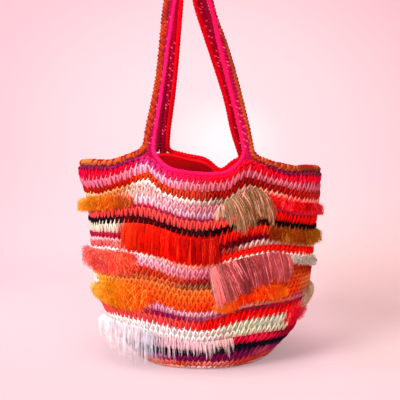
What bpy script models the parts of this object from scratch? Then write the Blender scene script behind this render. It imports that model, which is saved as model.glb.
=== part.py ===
# A crocheted bucket handbag: ridged rounds of chunky yarn, bands of fur yarn, combed fringes,
# a cloth lining and two shoulder straps. Metres, +Z up, +Y away from the viewer.
# The origin is on the floor under the middle of the bag.

import math

import bmesh
import bpy
from mathutils import Vector

# Driving sizes of the bag
WALL_HEIGHT = 0.2805      # top of the crocheted wall, before its waves
STRETCH = WALL_HEIGHT / 0.2805    # heights below are given for a wall of 280.5 mm
RIM_HALF_WIDTH = 0.171
BELLY_HALF_DEPTH = 0.100
WALL_THICK = 0.007        # yarn rounds, front to back
FLOOR_THICK = 0.007
GAP = 0.0003              # clearance between pieces that touch
RIDGE_OUT = 0.0022        # how far each round's crest stands out
RIDGE_IN = 0.0016         # how far the valley between two rounds sinks in
ROUND_SIDES = 48          # facets round the bag

# Heights up the wall, with the half width there as a share of the rim's half width and the
# half depth as a share of the belly's
SECTION_SHARES = (
    (0.000, 0.5146, 0.64),
    (0.006, 0.5848, 0.73),
    (0.018, 0.6550, 0.80),
    (0.035, 0.7310, 0.86),
    (0.060, 0.8070, 0.91),
    (0.090, 0.8830, 0.96),
    (0.125, 0.9240, 0.99),
    (0.200, 0.9591, 1.00),
    (0.283, 1.0000, 0.90),
    (0.330, 1.0234, 0.88),
)
SECTIONS = tuple((height * STRETCH, RIM_HALF_WIDTH * wide, BELLY_HALF_DEPTH * deep)
                 for height, wide, deep in SECTION_SHARES)

# Heights at which the wall's inner face bends; the lining bends with it
INSIDE_LEVELS = (WALL_HEIGHT,) + tuple(height * STRETCH for height in
                                       (0.235, 0.190, 0.140, 0.095, 0.060, 0.032, 0.013))

# The rounds climb to each strap's foot and sink between the feet
FRONT_FEET = (-24.7, 22.5)    # bearings in degrees from the front middle, + to the right
BACK_FEET = (-20.0, 20.5)     # bearings from the back middle, + to the right
FOOT_RISE = 0.027
FRONT_SHARES = (1.0, 0.9)     # how much of that rise each foot has
BACK_SHARES = (0.4, 0.1)
FOOT_SPREAD = 12.0            # degrees
BACK_DIP_BEARING = 10.5       # the back rim sags here
BACK_DIP = 0.018
BACK_DIP_SPREAD = 4.2
SIDE_TILT = 0.0045            # the left side stands higher, the right side lower
WAVE_FLAT_BELOW = 0.085 * STRETCH     # height under which the rounds run level
WAVE_FULL_ABOVE = 0.200 * STRETCH
BELLY_SAG = 0.006

# The last round alone is taller at the sides' front, lower at their back and in the front middle
LAST_ROUND = 0.268 * STRETCH
SIDE_RISE = 0.006
SIDE_FALL = 0.0085
FRONT_SAG = 0.0045

# The lining
LINING_THICK = 0.0016
LINING_BELOW_RIM = 0.001

# The straps: core tube, with an outer and an inner edging tube beside it
CORE_RADIUS = 0.0022
EDGING_RADIUS = 0.0042
RIM_EDGING_RADIUS = 0.0048
FRONT_INNER_RADIUS = 0.0028
BACK_INNER_RADIUS = 0.0036
STRAP_CLEARANCE = 0.0005
FRONT_TOP = (-0.012, -0.020, 0.574)
BACK_TOP = (-0.0175, 0.020, 0.548)
TWIST = 80.0                  # the front strap's right leg turns edge on near its top, degrees
TWIST_SHARE = 0.63            # where along the strap it turns most
TWIST_SPREAD = 0.072
STRAP_STEP = 0.015            # spacing of the points along a strap
FOOT_CLEAR = 0.011            # height above the rim where the edgings run beside the core
END_LIFT = 0.001              # how much higher a rim edging lies where it turns up a strap
OUTER_CLEAR = 7.0             # degrees from a foot where the outer edging leaves the rim
INNER_CLEAR = 5.5             # degrees from a foot where an inner edging leaves the rim
TUBE_DETAIL = 1               # curve bevel resolution

# Fur yarn bands and fringes
FUR_GAP = 0.0007              # from the rounds' crests to the back of a band
LOCK_WIDTH = 0.0085
LOCK_ROW = 0.013              # height of the facets down a lock

# Rounds from the rim down: height of each round and its yarn
ROUNDS = (
    (0.0115, "magenta"),
    (0.0110, "light_pink"),
    (0.0110, "rust"),
    (0.0070, "cream"),
    (0.0100, "pink"),
    (0.0100, "lilac"),
    (0.0115, "coral"),
    (0.0075, "black"),
    (0.0110, "sage_cream"),
    (0.0085, "burgundy"),
    (0.0130, "bright_red"),
    (0.0100, "pale_peach"),
    (0.0090, "dark_red"),
    (0.0080, "pink"),
    (0.0080, "rust"),
    (0.0075, "dark_gold"),
    (0.0145, "orange"),
    (0.0150, "orange_red"),
    (0.0080, "lilac"),
    (0.0060, "burgundy"),
    (0.0130, "bright_red"),
    (0.0180, "white"),
    (0.0145, "pale_pink"),
    (0.0115, "navy"),
    (0.0110, "purple"),
    (0.0110, "rust"),
)

YARNS = {
    "magenta": (0.78, 0.04, 0.14),
    "light_pink": (0.86, 0.36, 0.45),
    "rust": (0.50, 0.07, 0.03),
    "cream": (0.86, 0.74, 0.58),
    "pink": (0.84, 0.20, 0.32),
    "lilac": (0.56, 0.30, 0.42),
    "coral": (0.86, 0.16, 0.10),
    "black": (0.020, 0.015, 0.020),
    "sage_cream": (0.62, 0.62, 0.42),
    "burgundy": (0.20, 0.01, 0.04),
    "bright_red": (0.80, 0.03, 0.03),
    "pale_peach": (0.88, 0.56, 0.44),
    "dark_red": (0.38, 0.02, 0.02),
    "dark_gold": (0.30, 0.14, 0.02),
    "orange": (0.86, 0.26, 0.03),
    "orange_red": (0.82, 0.12, 0.03),
    "white": (0.88, 0.86, 0.84),
    "pale_pink": (0.86, 0.56, 0.60),
    "navy": (0.02, 0.02, 0.06),
    "purple": (0.30, 0.03, 0.22),
    "lining_red": (0.66, 0.01, 0.02),
    "edging_orange": (0.72, 0.22, 0.04),
    "strap_purple": (0.14, 0.02, 0.08),
    "fur_orange": (0.88, 0.30, 0.03),
    "fur_red": (0.84, 0.03, 0.02),
    "fur_tan": (0.56, 0.34, 0.18),
    "fur_ochre": (0.46, 0.20, 0.03),
    "fur_mauve": (0.60, 0.20, 0.24),
    "fur_coral": (0.86, 0.20, 0.12),
    "fur_grey": (0.50, 0.44, 0.38),
    "fur_amber": (0.86, 0.38, 0.05),
    "fur_flame": (0.86, 0.14, 0.02),
    "fur_white": (0.84, 0.84, 0.84),
    "fur_crimson": (0.62, 0.02, 0.06),
    "fur_beige": (0.60, 0.46, 0.30),
}

# Each band: yarn, thickness, length of the loose tips, and points along it as
# (bearing in degrees, height of its top edge, height of its bottom edge) on the bag's wall
BANDS = {
    "fur_orange_left": ("fur_orange", 0.0075, 0.002, (
        (-84.0, 0.236, 0.213), (-57.0, 0.242, 0.222), (-42.0, 0.236, 0.212), (-35.0, 0.226, 0.209))),
    "fringe_red_long": ("fur_red", 0.0070, 0.005, (
        (-42.0, 0.190, 0.162), (-36.0, 0.195, 0.161), (-25.0, 0.200, 0.166), (-16.0, 0.205, 0.169),
        (-8.0, 0.203, 0.166), (0.0, 0.202, 0.163), (6.0, 0.198, 0.166))),
    "fringe_tan": ("fur_tan", 0.0070, 0.005, (
        (7.5, 0.240, 0.227), (11.0, 0.245, 0.213), (15.0, 0.248, 0.203),
        (21.0, 0.250, 0.206), (28.0, 0.246, 0.211), (34.5, 0.233, 0.205))),
    "fur_red_right": ("fur_red", 0.0070, 0.002, (
        (36.0, 0.229, 0.211), (44.0, 0.239, 0.219), (55.0, 0.242, 0.227), (78.0, 0.236, 0.219))),
    "fur_ochre_right": ("fur_ochre", 0.0070, 0.003, (
        (35.0, 0.192, 0.174), (45.0, 0.198, 0.174), (57.0, 0.205, 0.182), (78.0, 0.202, 0.179))),
    "fringe_mauve": ("fur_mauve", 0.0070, 0.006, (
        (5.5, 0.159, 0.107), (12.0, 0.161, 0.111), (20.0, 0.162, 0.126),
        (31.0, 0.161, 0.131), (40.0, 0.160, 0.129), (46.5, 0.158, 0.128))),
    "fur_coral_left": ("fur_coral", 0.0080, 0.003, (
        (-79.0, 0.166, 0.128), (-57.0, 0.163, 0.129), (-45.0, 0.158, 0.131), (-37.0, 0.156, 0.134))),
    "fur_grey_right": ("fur_grey", 0.0060, 0.002, (
        (48.5, 0.158, 0.146), (57.0, 0.164, 0.149), (76.0, 0.163, 0.146))),
    "fur_amber_left": ("fur_amber", 0.0080, 0.003, (
        (-72.0, 0.118, 0.091), (-55.0, 0.122, 0.094), (-42.0, 0.124, 0.094), (-28.5, 0.125, 0.098))),
    "fur_flame_right": ("fur_flame", 0.0080, 0.003, (
        (8.0, 0.104, 0.095), (12.0, 0.107, 0.095), (20.0, 0.118, 0.101),
        (31.0, 0.122, 0.106), (50.0, 0.118, 0.099))),
    "fringe_white": ("fur_white", 0.0060, 0.008, (
        (-82.0, 0.073, 0.036), (-62.0, 0.080, 0.020), (-50.0, 0.082, 0.014), (-36.0, 0.077, 0.016),
        (-23.0, 0.076, 0.026), (-12.0, 0.071, 0.038), (0.0, 0.068, 0.045), (16.0, 0.069, 0.052))),
    "fur_crimson_right": ("fur_crimson", 0.0065, 0.002, (
        (52.0, 0.090, 0.068), (62.0, 0.087, 0.062), (80.0, 0.079, 0.063))),
    "pompom_beige": ("fur_beige", 0.0090, 0.003, (
        (84.0, 0.114, 0.094), (95.0, 0.126, 0.080), (106.0, 0.114, 0.094))),
}


def clear_scene():
    for item in list(bpy.data.objects):
        bpy.data.objects.remove(item, do_unlink=True)


def yarn_material(name):
    material = bpy.data.materials.new(name)
    material.use_nodes = True
    shader = material.node_tree.nodes["Principled BSDF"]
    shader.inputs["Base Color"].default_value = (*YARNS[name], 1.0)
    shader.inputs["Roughness"].default_value = 0.45 if name == "lining_red" else 0.85
    shader.inputs["Metallic"].default_value = 0.0
    return material


def bell(distance, spread):
    return math.exp(-0.5 * (distance / spread) ** 2)


def ease(value, start, end):
    share = max(0.0, min(1.0, (value - start) / (end - start)))
    return share * share * (3.0 - 2.0 * share)


def section(height):
    # half width and half depth on a smooth curve through SECTIONS
    if height <= SECTIONS[0][0]:
        return SECTIONS[0][1], SECTIONS[0][2]
    last = len(SECTIONS) - 1
    for index in range(last):
        low, high = SECTIONS[index], SECTIONS[index + 1]
        if height <= high[0]:
            break
    before = SECTIONS[max(index - 1, 0)]
    after = SECTIONS[min(index + 2, last)]
    span = high[0] - low[0]
    share = min(1.0, (height - low[0]) / span)
    sizes = []
    for axis in (1, 2):
        slope_low = (high[axis] - before[axis]) / (high[0] - before[0]) * span
        slope_high = (after[axis] - low[axis]) / (after[0] - low[0]) * span
        square, cube = share ** 2, share ** 3
        sizes.append((2 * cube - 3 * square + 1) * low[axis] + (cube - 2 * square + share) * slope_low
                     + (3 * square - 2 * cube) * high[axis] + (cube - square) * slope_high)
    return sizes[0], sizes[1]


def wave(bearing, height):
    # how far a round is lifted at a bearing; the lift fades towards the floor
    bearing = (bearing + 180.0) % 360.0 - 180.0
    fade = ease(height, WAVE_FLAT_BELOW, WAVE_FULL_ABOVE)
    shift = (WALL_HEIGHT - height) * 130.0
    back = (180.0 - abs(bearing)) * (1.0 if bearing > 0.0 else -1.0)
    lift = FRONT_SHARES[0] * bell(bearing - FRONT_FEET[0] + shift, FOOT_SPREAD)
    lift += FRONT_SHARES[1] * bell(bearing - FRONT_FEET[1] - shift, FOOT_SPREAD)
    lift += BACK_SHARES[0] * bell(back - BACK_FEET[0] + shift, FOOT_SPREAD * 0.7)
    lift += BACK_SHARES[1] * bell(back - BACK_FEET[1] - shift, FOOT_SPREAD * 0.6)
    lift = lift * FOOT_RISE * fade
    lift -= BACK_DIP * fade * bell(back - BACK_DIP_BEARING, BACK_DIP_SPREAD)
    lift -= SIDE_TILT * fade * math.sin(math.radians(bearing))
    lift -= BELLY_SAG * bell(height - 0.07 * STRETCH, 0.04 * STRETCH) * bell(bearing, 28.0)
    return lift + rim_lift(bearing) * ease(height, LAST_ROUND, WALL_HEIGHT)


def rim_lift(bearing):
    # how the last round differs from the even ones below it
    side = abs(bearing)
    return (SIDE_RISE * bell(side - 60.0, 16.0) - SIDE_FALL * bell(side - 118.0, 20.0)
            - FRONT_SAG * bell(bearing, 11.0))


def wall_point(bearing, height, outward=0.0):
    half_width, half_depth = section(height)
    angle = math.radians(bearing)
    return Vector(((half_width + outward) * math.sin(angle),
                   -(half_depth + outward) * math.cos(angle),
                   height + wave(bearing, height)))


def finish_mesh(name, mesh, collection, yarns, smooth=40.0):
    item = bpy.data.objects.new(name, mesh)
    collection.objects.link(item)
    for yarn in yarns:
        mesh.materials.append(bpy.data.materials.get(yarn) or yarn_material(yarn))
    mesh.shade_smooth()
    mesh.set_sharp_from_angle(angle=math.radians(smooth))
    return item


def bridge(shape, lower, upper, material=0):
    # quads between two rings of the same length
    count = len(lower)
    for index in range(count):
        following = (index + 1) % count
        face = shape.faces.new((lower[index], lower[following], upper[following], upper[index]))
        face.material_index = material


def ring(shape, height, outward, drop=0.0):
    points = []
    for index in range(ROUND_SIDES):
        point = wall_point(360.0 * index / ROUND_SIDES, height, outward)
        point.z = max(0.0, point.z - drop)
        points.append(shape.verts.new(point))
    return points


def make_body(collection):
    # floor, wall of ridged rounds, rim and plain inner face in one closed loft
    yarns = []
    for _, yarn in ROUNDS:
        if yarn not in yarns:
            yarns.append(yarn)
    shape = bmesh.new()
    scale = WALL_HEIGHT / sum(height for height, _ in ROUNDS)
    level = WALL_HEIGHT
    upper = ring(shape, level, 0.0)
    rim = upper
    for number, (height, yarn) in enumerate(ROUNDS):
        height *= scale
        slot = yarns.index(yarn)
        crest = ring(shape, level - height * 0.5, RIDGE_OUT)
        level -= height
        last = number == len(ROUNDS) - 1
        valley = ring(shape, 0.0 if last else level, 0.0 if last else -RIDGE_IN)
        bridge(shape, crest, upper, slot)
        bridge(shape, valley, crest, slot)
        upper = valley
    floor = shape.faces.new(list(reversed(upper)))
    floor.material_index = len(yarns) - 1
    outer = rim
    for height in INSIDE_LEVELS:
        inner = ring(shape, height, -WALL_THICK)
        bridge(shape, outer, inner, yarns.index("dark_red"))
        outer = inner
    for vertex in outer:
        vertex.co.z = FLOOR_THICK
    shape.faces.new(outer)
    mesh = bpy.data.meshes.new("crochet_body")
    shape.to_mesh(mesh)
    shape.free()
    return finish_mesh("crochet_body", mesh, collection, yarns, 60.0)


def make_lining(collection):
    # a thin open sack just inside the wall, sewn in under the rim
    shape = bmesh.new()
    outside = -(WALL_THICK + 2 * GAP)
    inside = outside - LINING_THICK
    levels = (WALL_HEIGHT - LINING_BELOW_RIM,) + INSIDE_LEVELS[1:]
    rings = [ring(shape, height, outside) for height in reversed(levels)]
    rings += [ring(shape, height, inside) for height in levels]
    for vertex in rings[0]:
        vertex.co.z = FLOOR_THICK + GAP
    for vertex in rings[-1]:
        vertex.co.z = FLOOR_THICK + GAP + LINING_THICK
    for lower, upper in zip(rings, rings[1:]):
        bridge(shape, lower, upper)
    shape.faces.new(list(reversed(rings[0])))
    shape.faces.new(rings[-1])
    mesh = bpy.data.meshes.new("lining")
    shape.to_mesh(mesh)
    shape.free()
    return finish_mesh("lining", mesh, collection, ["lining_red"])


def smooth_path(points, step, closed=False):
    # Catmull-Rom curve through the points, at about one point a step
    count = len(points)
    result = []
    for index in range(count if closed else count - 1):
        if closed:
            quad = [points[(index + offset) % count] for offset in (-1, 0, 1, 2)]
        else:
            quad = [points[max(0, min(count - 1, index + offset))] for offset in (-1, 0, 1, 2)]
        length = (quad[2] - quad[1]).length
        parts = max(1, round(length / step))
        for part in range(parts):
            t = part / parts
            result.append(0.5 * (2 * quad[1] + (quad[2] - quad[0]) * t
                                 + (2 * quad[0] - 5 * quad[1] + 4 * quad[2] - quad[3]) * t ** 2
                                 + (3 * quad[1] - quad[0] - 3 * quad[2] + quad[3]) * t ** 3))
    if not closed:
        result.append(points[-1])
    return result


def strap_route(side, feet, top, knees):
    # the core's route: foot, two knees on each leg and a round top
    def foot(bearing):
        return above_rim(bearing if side == "front" else 180.0 - bearing, CORE_RADIUS * 0.5)

    left, right = foot(feet[0]), foot(feet[1])
    top = Vector(top)
    points = [left]
    for x, z in knees[0]:
        share = (z - left.z) / (top.z - left.z)
        points.append(Vector((x, left.y + (top.y - left.y) * ease(share, -0.25, 1.0), z)))
    points.append(top + Vector((-0.017, 0.0, -0.016)))
    points.append(top)
    points.append(top + Vector((0.015, 0.0, -0.018)))
    for x, z in reversed(knees[1]):
        share = (z - right.z) / (top.z - right.z)
        points.append(Vector((x, right.y + (top.y - right.y) * ease(share, -0.25, 1.0), z)))
    points.append(right)
    return smooth_path(points, STRAP_STEP)


# Where each leg of a strap passes, as (x, z)
FRONT_KNEES = (((-0.0696, 0.332), (-0.0572, 0.411), (-0.0408, 0.522)),
               ((0.0666, 0.332), (0.0480, 0.397), (0.0130, 0.520)))
BACK_KNEES = (((-0.0541, 0.330), (-0.0448, 0.404), (-0.0357, 0.512)),
              ((0.0560, 0.330), (0.0400, 0.391), (0.0010, 0.510)))


def beside(route, offset, twist=0.0):
    # a route that runs beside another, + to the outside of the loop; a twist turns the
    # strap edge on, with its outer edge to the back
    shifted = []
    last = len(route) - 1
    for index, point in enumerate(route):
        along = route[min(index + 1, last)] - route[max(index - 1, 0)]
        across = Vector((-along.z, 0.0, along.x)).normalized()
        turn = math.radians(twist * bell(index / last - TWIST_SHARE, TWIST_SPREAD))
        across = across * math.cos(turn) + Vector((0.0, math.sin(turn), 0.0))
        shifted.append(point + across * offset)
    return shifted


def above_rim(bearing, radius):
    # a point over the rim's flat-sided top, so that a tube there clears every facet
    step = 360.0 / ROUND_SIDES
    low = math.floor(bearing / step) * step
    share = (bearing - low) / step
    corners = [wall_point(low + step * side, WALL_HEIGHT, -WALL_THICK / 2) for side in (-1, 0, 1, 2)]
    stretches = []
    for before, after in zip(corners, corners[1:]):
        run = math.hypot(after.x - before.x, after.y - before.y)
        stretches.append((after - before).length / run)
    steepest = max(stretches[1], stretches[0 if share < 0.5 else 2])
    lift = (radius + STRAP_CLEARANCE) * steepest
    return corners[1].lerp(corners[2], share) + Vector((0.0, 0.0, lift))


def rim_stretch(start, end, radius, end_radius):
    # a rim edging from one bearing to another, bending only where the wall's facets do
    step = 360.0 / ROUND_SIDES
    low, high = sorted((start, end))
    first, last = math.ceil(low / step + 0.35), math.floor(high / step - 0.35)
    inner = [index * step for index in range(first, last + 1)]
    bearings = [low] + inner + [high]
    radii = [end_radius] + [radius] * len(inner) + [end_radius]
    if start > end:
        bearings.reverse()
    points = [above_rim(bearing, size) for bearing, size in zip(bearings, radii)]
    for point in (points[0], points[-1]):
        point.z += END_LIFT
    return list(zip(points, radii))


def strap_stretch(route, offset, radius, twist=0.0):
    # the stretch of an edging that runs beside the core, clear of both feet
    shifted = beside(route, offset, twist)
    low = (route[0].z + FOOT_CLEAR, route[-1].z + FOOT_CLEAR)
    half = len(route) // 2
    return [(point, radius) for index, (core, point) in enumerate(zip(route, shifted))
            if core.z > low[0 if index < half else 1]]


def closed_loop(stretches):
    # the stretches in turn, with a smooth bend from the end of each to the start of the next
    loop = []
    for number, stretch in enumerate(stretches):
        following = stretches[(number + 1) % len(stretches)]
        loop += stretch
        (before, _), (start, radius) = stretch[-2:]
        (end, end_radius), (after, _) = following[:2]
        reach = (end - start).length
        pull, push = (start - before).normalized() * reach, (after - end).normalized() * reach
        parts = max(2, round(reach / STRAP_STEP) + 1)
        for part in range(1, parts):
            t = part / parts
            point = ((2 * t ** 3 - 3 * t * t + 1) * start + (t ** 3 - 2 * t * t + t) * pull
                     + (3 * t * t - 2 * t ** 3) * end + (t ** 3 - t * t) * push)
            loop.append((point, radius + (end_radius - radius) * t))
    return loop


def make_tube(name, route, collection, yarn, closed):
    # a round rail through (point, radius) pairs
    curve = bpy.data.curves.new(name, "CURVE")
    curve.dimensions = "3D"
    curve.bevel_depth = 1.0
    curve.bevel_resolution = TUBE_DETAIL
    curve.use_fill_caps = not closed
    spline = curve.splines.new("POLY")
    spline.points.add(len(route) - 1)
    for slot, (point, radius) in zip(spline.points, route):
        slot.co = (*point, 1.0)
        slot.radius = radius
    spline.use_cyclic_u = closed
    spline.use_smooth = True
    curve.materials.append(bpy.data.materials.get(yarn) or yarn_material(yarn))
    item = bpy.data.objects.new(name, curve)
    collection.objects.link(item)
    return item


def make_straps(collection):
    front = strap_route("front", FRONT_FEET, FRONT_TOP, FRONT_KNEES)
    back = strap_route("back", BACK_FEET, BACK_TOP, BACK_KNEES)
    for name, route in (("front_handle", front), ("back_handle", back)):
        make_tube(name, [(point, CORE_RADIUS) for point in route], collection, "strap_purple", False)

    # the orange round: left rim, back strap, right rim, front strap, in one loop
    outward = CORE_RADIUS + EDGING_RADIUS + STRAP_CLEARANCE
    left = rim_stretch(FRONT_FEET[0] - OUTER_CLEAR, -180.0 - BACK_FEET[0] + OUTER_CLEAR,
                       RIM_EDGING_RADIUS, EDGING_RADIUS)
    right = rim_stretch(180.0 - BACK_FEET[1] - OUTER_CLEAR, FRONT_FEET[1] + OUTER_CLEAR,
                        RIM_EDGING_RADIUS, EDGING_RADIUS)
    front_outer = strap_stretch(front, outward, EDGING_RADIUS, TWIST)
    front_outer.reverse()
    loop = closed_loop([left, strap_stretch(back, outward, EDGING_RADIUS), right, front_outer])
    make_tube("outer_edging", loop, collection, "edging_orange", True)

    # the inner rounds: each runs along its rim and up the inner edge of its strap
    radius = FRONT_INNER_RADIUS
    inward = -(CORE_RADIUS + radius + STRAP_CLEARANCE)
    rim = rim_stretch(FRONT_FEET[1] - INNER_CLEAR, FRONT_FEET[0] + INNER_CLEAR, radius, radius)
    loop = closed_loop([strap_stretch(front, inward, radius, TWIST), rim])
    make_tube("front_inner_edging", loop, collection, "magenta", True)
    radius = BACK_INNER_RADIUS
    inward = -(CORE_RADIUS + radius + STRAP_CLEARANCE)
    rim = rim_stretch(180.0 - BACK_FEET[1] + INNER_CLEAR, 180.0 - BACK_FEET[0] - INNER_CLEAR,
                      radius, radius)
    loop = closed_loop([strap_stretch(back, inward, radius), rim])
    make_tube("back_inner_edging", loop, collection, "bright_red", True)


def band_edges(points, bearing):
    # top and bottom of a band at a bearing, between its points
    for left, right in zip(points, points[1:]):
        if bearing <= right[0]:
            break
    share = ease(bearing, left[0], right[0])
    return ((left[1] + (right[1] - left[1]) * share) * STRETCH,
            (left[2] + (right[2] - left[2]) * share) * STRETCH)


def make_band(name, collection):
    # a sheet laid on the wall, thickened outwards into locks that thin to their tips
    yarn, thick, tips, points = BANDS[name]
    start, end = points[0][0], points[-1][0]
    middle = wall_point((start + end) / 2, points[0][1])
    arc = sum((wall_point(a[0], a[1]) - wall_point(b[0], b[1])).length for a, b in zip(points, points[1:]))
    columns = max(4, 2 * round(arc / LOCK_WIDTH / 2))
    tallest = max(top - bottom for _, top, bottom in points)
    rows = max(3, math.ceil(tallest / LOCK_ROW))
    mesh = bpy.data.meshes.new(name)
    shape = bmesh.new()
    bmesh.ops.create_grid(shape, x_segments=columns, y_segments=rows, size=1.0)
    weights = {}
    for vertex in shape.verts:
        along = (vertex.co.x + 1.0) / 2.0
        down = (vertex.co.y + 1.0) / 2.0
        bearing = start + (end - start) * along
        top, bottom = band_edges(points, bearing)
        lock = round(along * columns) % 2
        bottom += tips * (0.5 if lock else -0.5)
        height = bottom + (top - bottom) * down
        side = min(1.0, 4.0 * min(along, 1.0 - along) + 0.35)
        body = 0.35 + 0.65 * math.sin(math.pi * (0.08 + 0.84 * down))
        weights[vertex.index] = body * side * (1.0 if lock else 0.6)
        vertex.co = wall_point(bearing, height, RIDGE_OUT + FUR_GAP)
    shape.normal_update()
    face = shape.faces[:][0]
    if face.normal.dot(Vector((middle.x, middle.y, 0.0))) < 0.0:
        bmesh.ops.reverse_faces(shape, faces=shape.faces[:])
    shape.to_mesh(mesh)
    shape.free()
    item = finish_mesh(name, mesh, collection, [yarn])
    group = item.vertex_groups.new(name="locks")
    for index, weight in weights.items():
        group.add([index], weight, "REPLACE")
    solid = item.modifiers.new("locks", "SOLIDIFY")
    solid.thickness = thick
    solid.offset = 1.0
    solid.vertex_group = "locks"
    return item


def main():
    clear_scene()
    collection = bpy.data.collections.new("handbag")
    bpy.context.scene.collection.children.link(collection)
    make_body(collection)
    make_lining(collection)
    make_straps(collection)
    for name in BANDS:
        make_band(name, collection)


main()
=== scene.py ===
import math

import bpy
import numpy as np
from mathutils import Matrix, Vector


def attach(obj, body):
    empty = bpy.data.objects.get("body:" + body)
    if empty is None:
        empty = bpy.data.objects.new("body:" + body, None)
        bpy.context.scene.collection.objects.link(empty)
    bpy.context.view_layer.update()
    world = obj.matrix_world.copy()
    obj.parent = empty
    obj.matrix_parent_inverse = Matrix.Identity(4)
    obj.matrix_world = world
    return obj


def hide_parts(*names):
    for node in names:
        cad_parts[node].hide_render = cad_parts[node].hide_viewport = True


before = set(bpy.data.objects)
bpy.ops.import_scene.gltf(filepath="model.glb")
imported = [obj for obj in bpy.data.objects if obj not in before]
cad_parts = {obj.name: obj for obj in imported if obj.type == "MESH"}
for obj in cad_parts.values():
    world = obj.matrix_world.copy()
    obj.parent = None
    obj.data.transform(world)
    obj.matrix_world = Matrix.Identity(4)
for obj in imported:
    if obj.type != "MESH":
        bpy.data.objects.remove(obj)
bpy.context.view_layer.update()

# the bag's own sizes, as the frame was built, in metres and degrees from the front middle
bag = {
    "rimHeight": 0.2805,         # top of the wall before its waves
    "wallThick": 0.007,
    "stitchPitch": 0.0078,       # one stitch along a round
    "sections": (                # height, half width, half depth
        (0.000, 0.088, 0.064), (0.006, 0.100, 0.073), (0.018, 0.112, 0.080),
        (0.035, 0.125, 0.086), (0.060, 0.138, 0.091), (0.090, 0.151, 0.096),
        (0.125, 0.158, 0.099), (0.200, 0.164, 0.100), (0.283, 0.171, 0.090),
        (0.330, 0.175, 0.088)),
    "sectionParts": 24,          # samples between two sections
    "frontFeet": (-24.7, 22.5),  # the strap feet
    "backFeet": (-20.0, 25.0),   # the same from the back middle
    "footRise": 0.027,
    "footSpread": 12.0,
    "frontShares": (1.0, 0.9),
    "frontWidths": (1.0, 1.0),
    "backShares": (0.4, 0.1),
    "backWidths": (0.7, 0.6),
    "climb": 130.0,              # how fast the crests part below the rim, in degrees to a metre
    "backDipBearing": 10.5,
    "backDip": 0.018,
    "backDipSpread": 4.2,
    "sideTilt": 0.0045,
    "lastRound": 0.268,
    "sideRise": (0.006, 60.0, 16.0),     # size, bearing and spread
    "sideFall": (0.0085, 118.0, 20.0),
    "frontSag": (0.0045, 0.0, 11.0),
    "flatBelow": 0.085,
    "fullAbove": 0.200,
    "bellySag": (0.006, 0.0, 28.0),
    "bellyLevel": (0.07, 0.04),
    "leftLean": (                # how far the left side leans to the right, by height
        (0.0, 0.008), (0.03, 0.008), (0.06, 0.006), (0.10, 0.003), (0.24, 0.0034), (0.258, 0.0),
        (0.27, -0.0042)),
    "rightLean": (
        (0.0, 0.0), (0.03, 0.002), (0.045, 0.0048), (0.067, 0.0052), (0.09, 0.002), (0.125, 0.0005),
        (0.2, 0.0015)),
    "liftReach": (86.0, 108.0),  # the measured lifts fade out between these bearings
    "liftSpan": 110,
    "liftSoftness": 1.4,
    "rimBand": (0.2710, 0.2775), # above this the measured lifts hold between the feet only
    "rimFeet": (23.0, 31.0),
}

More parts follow.
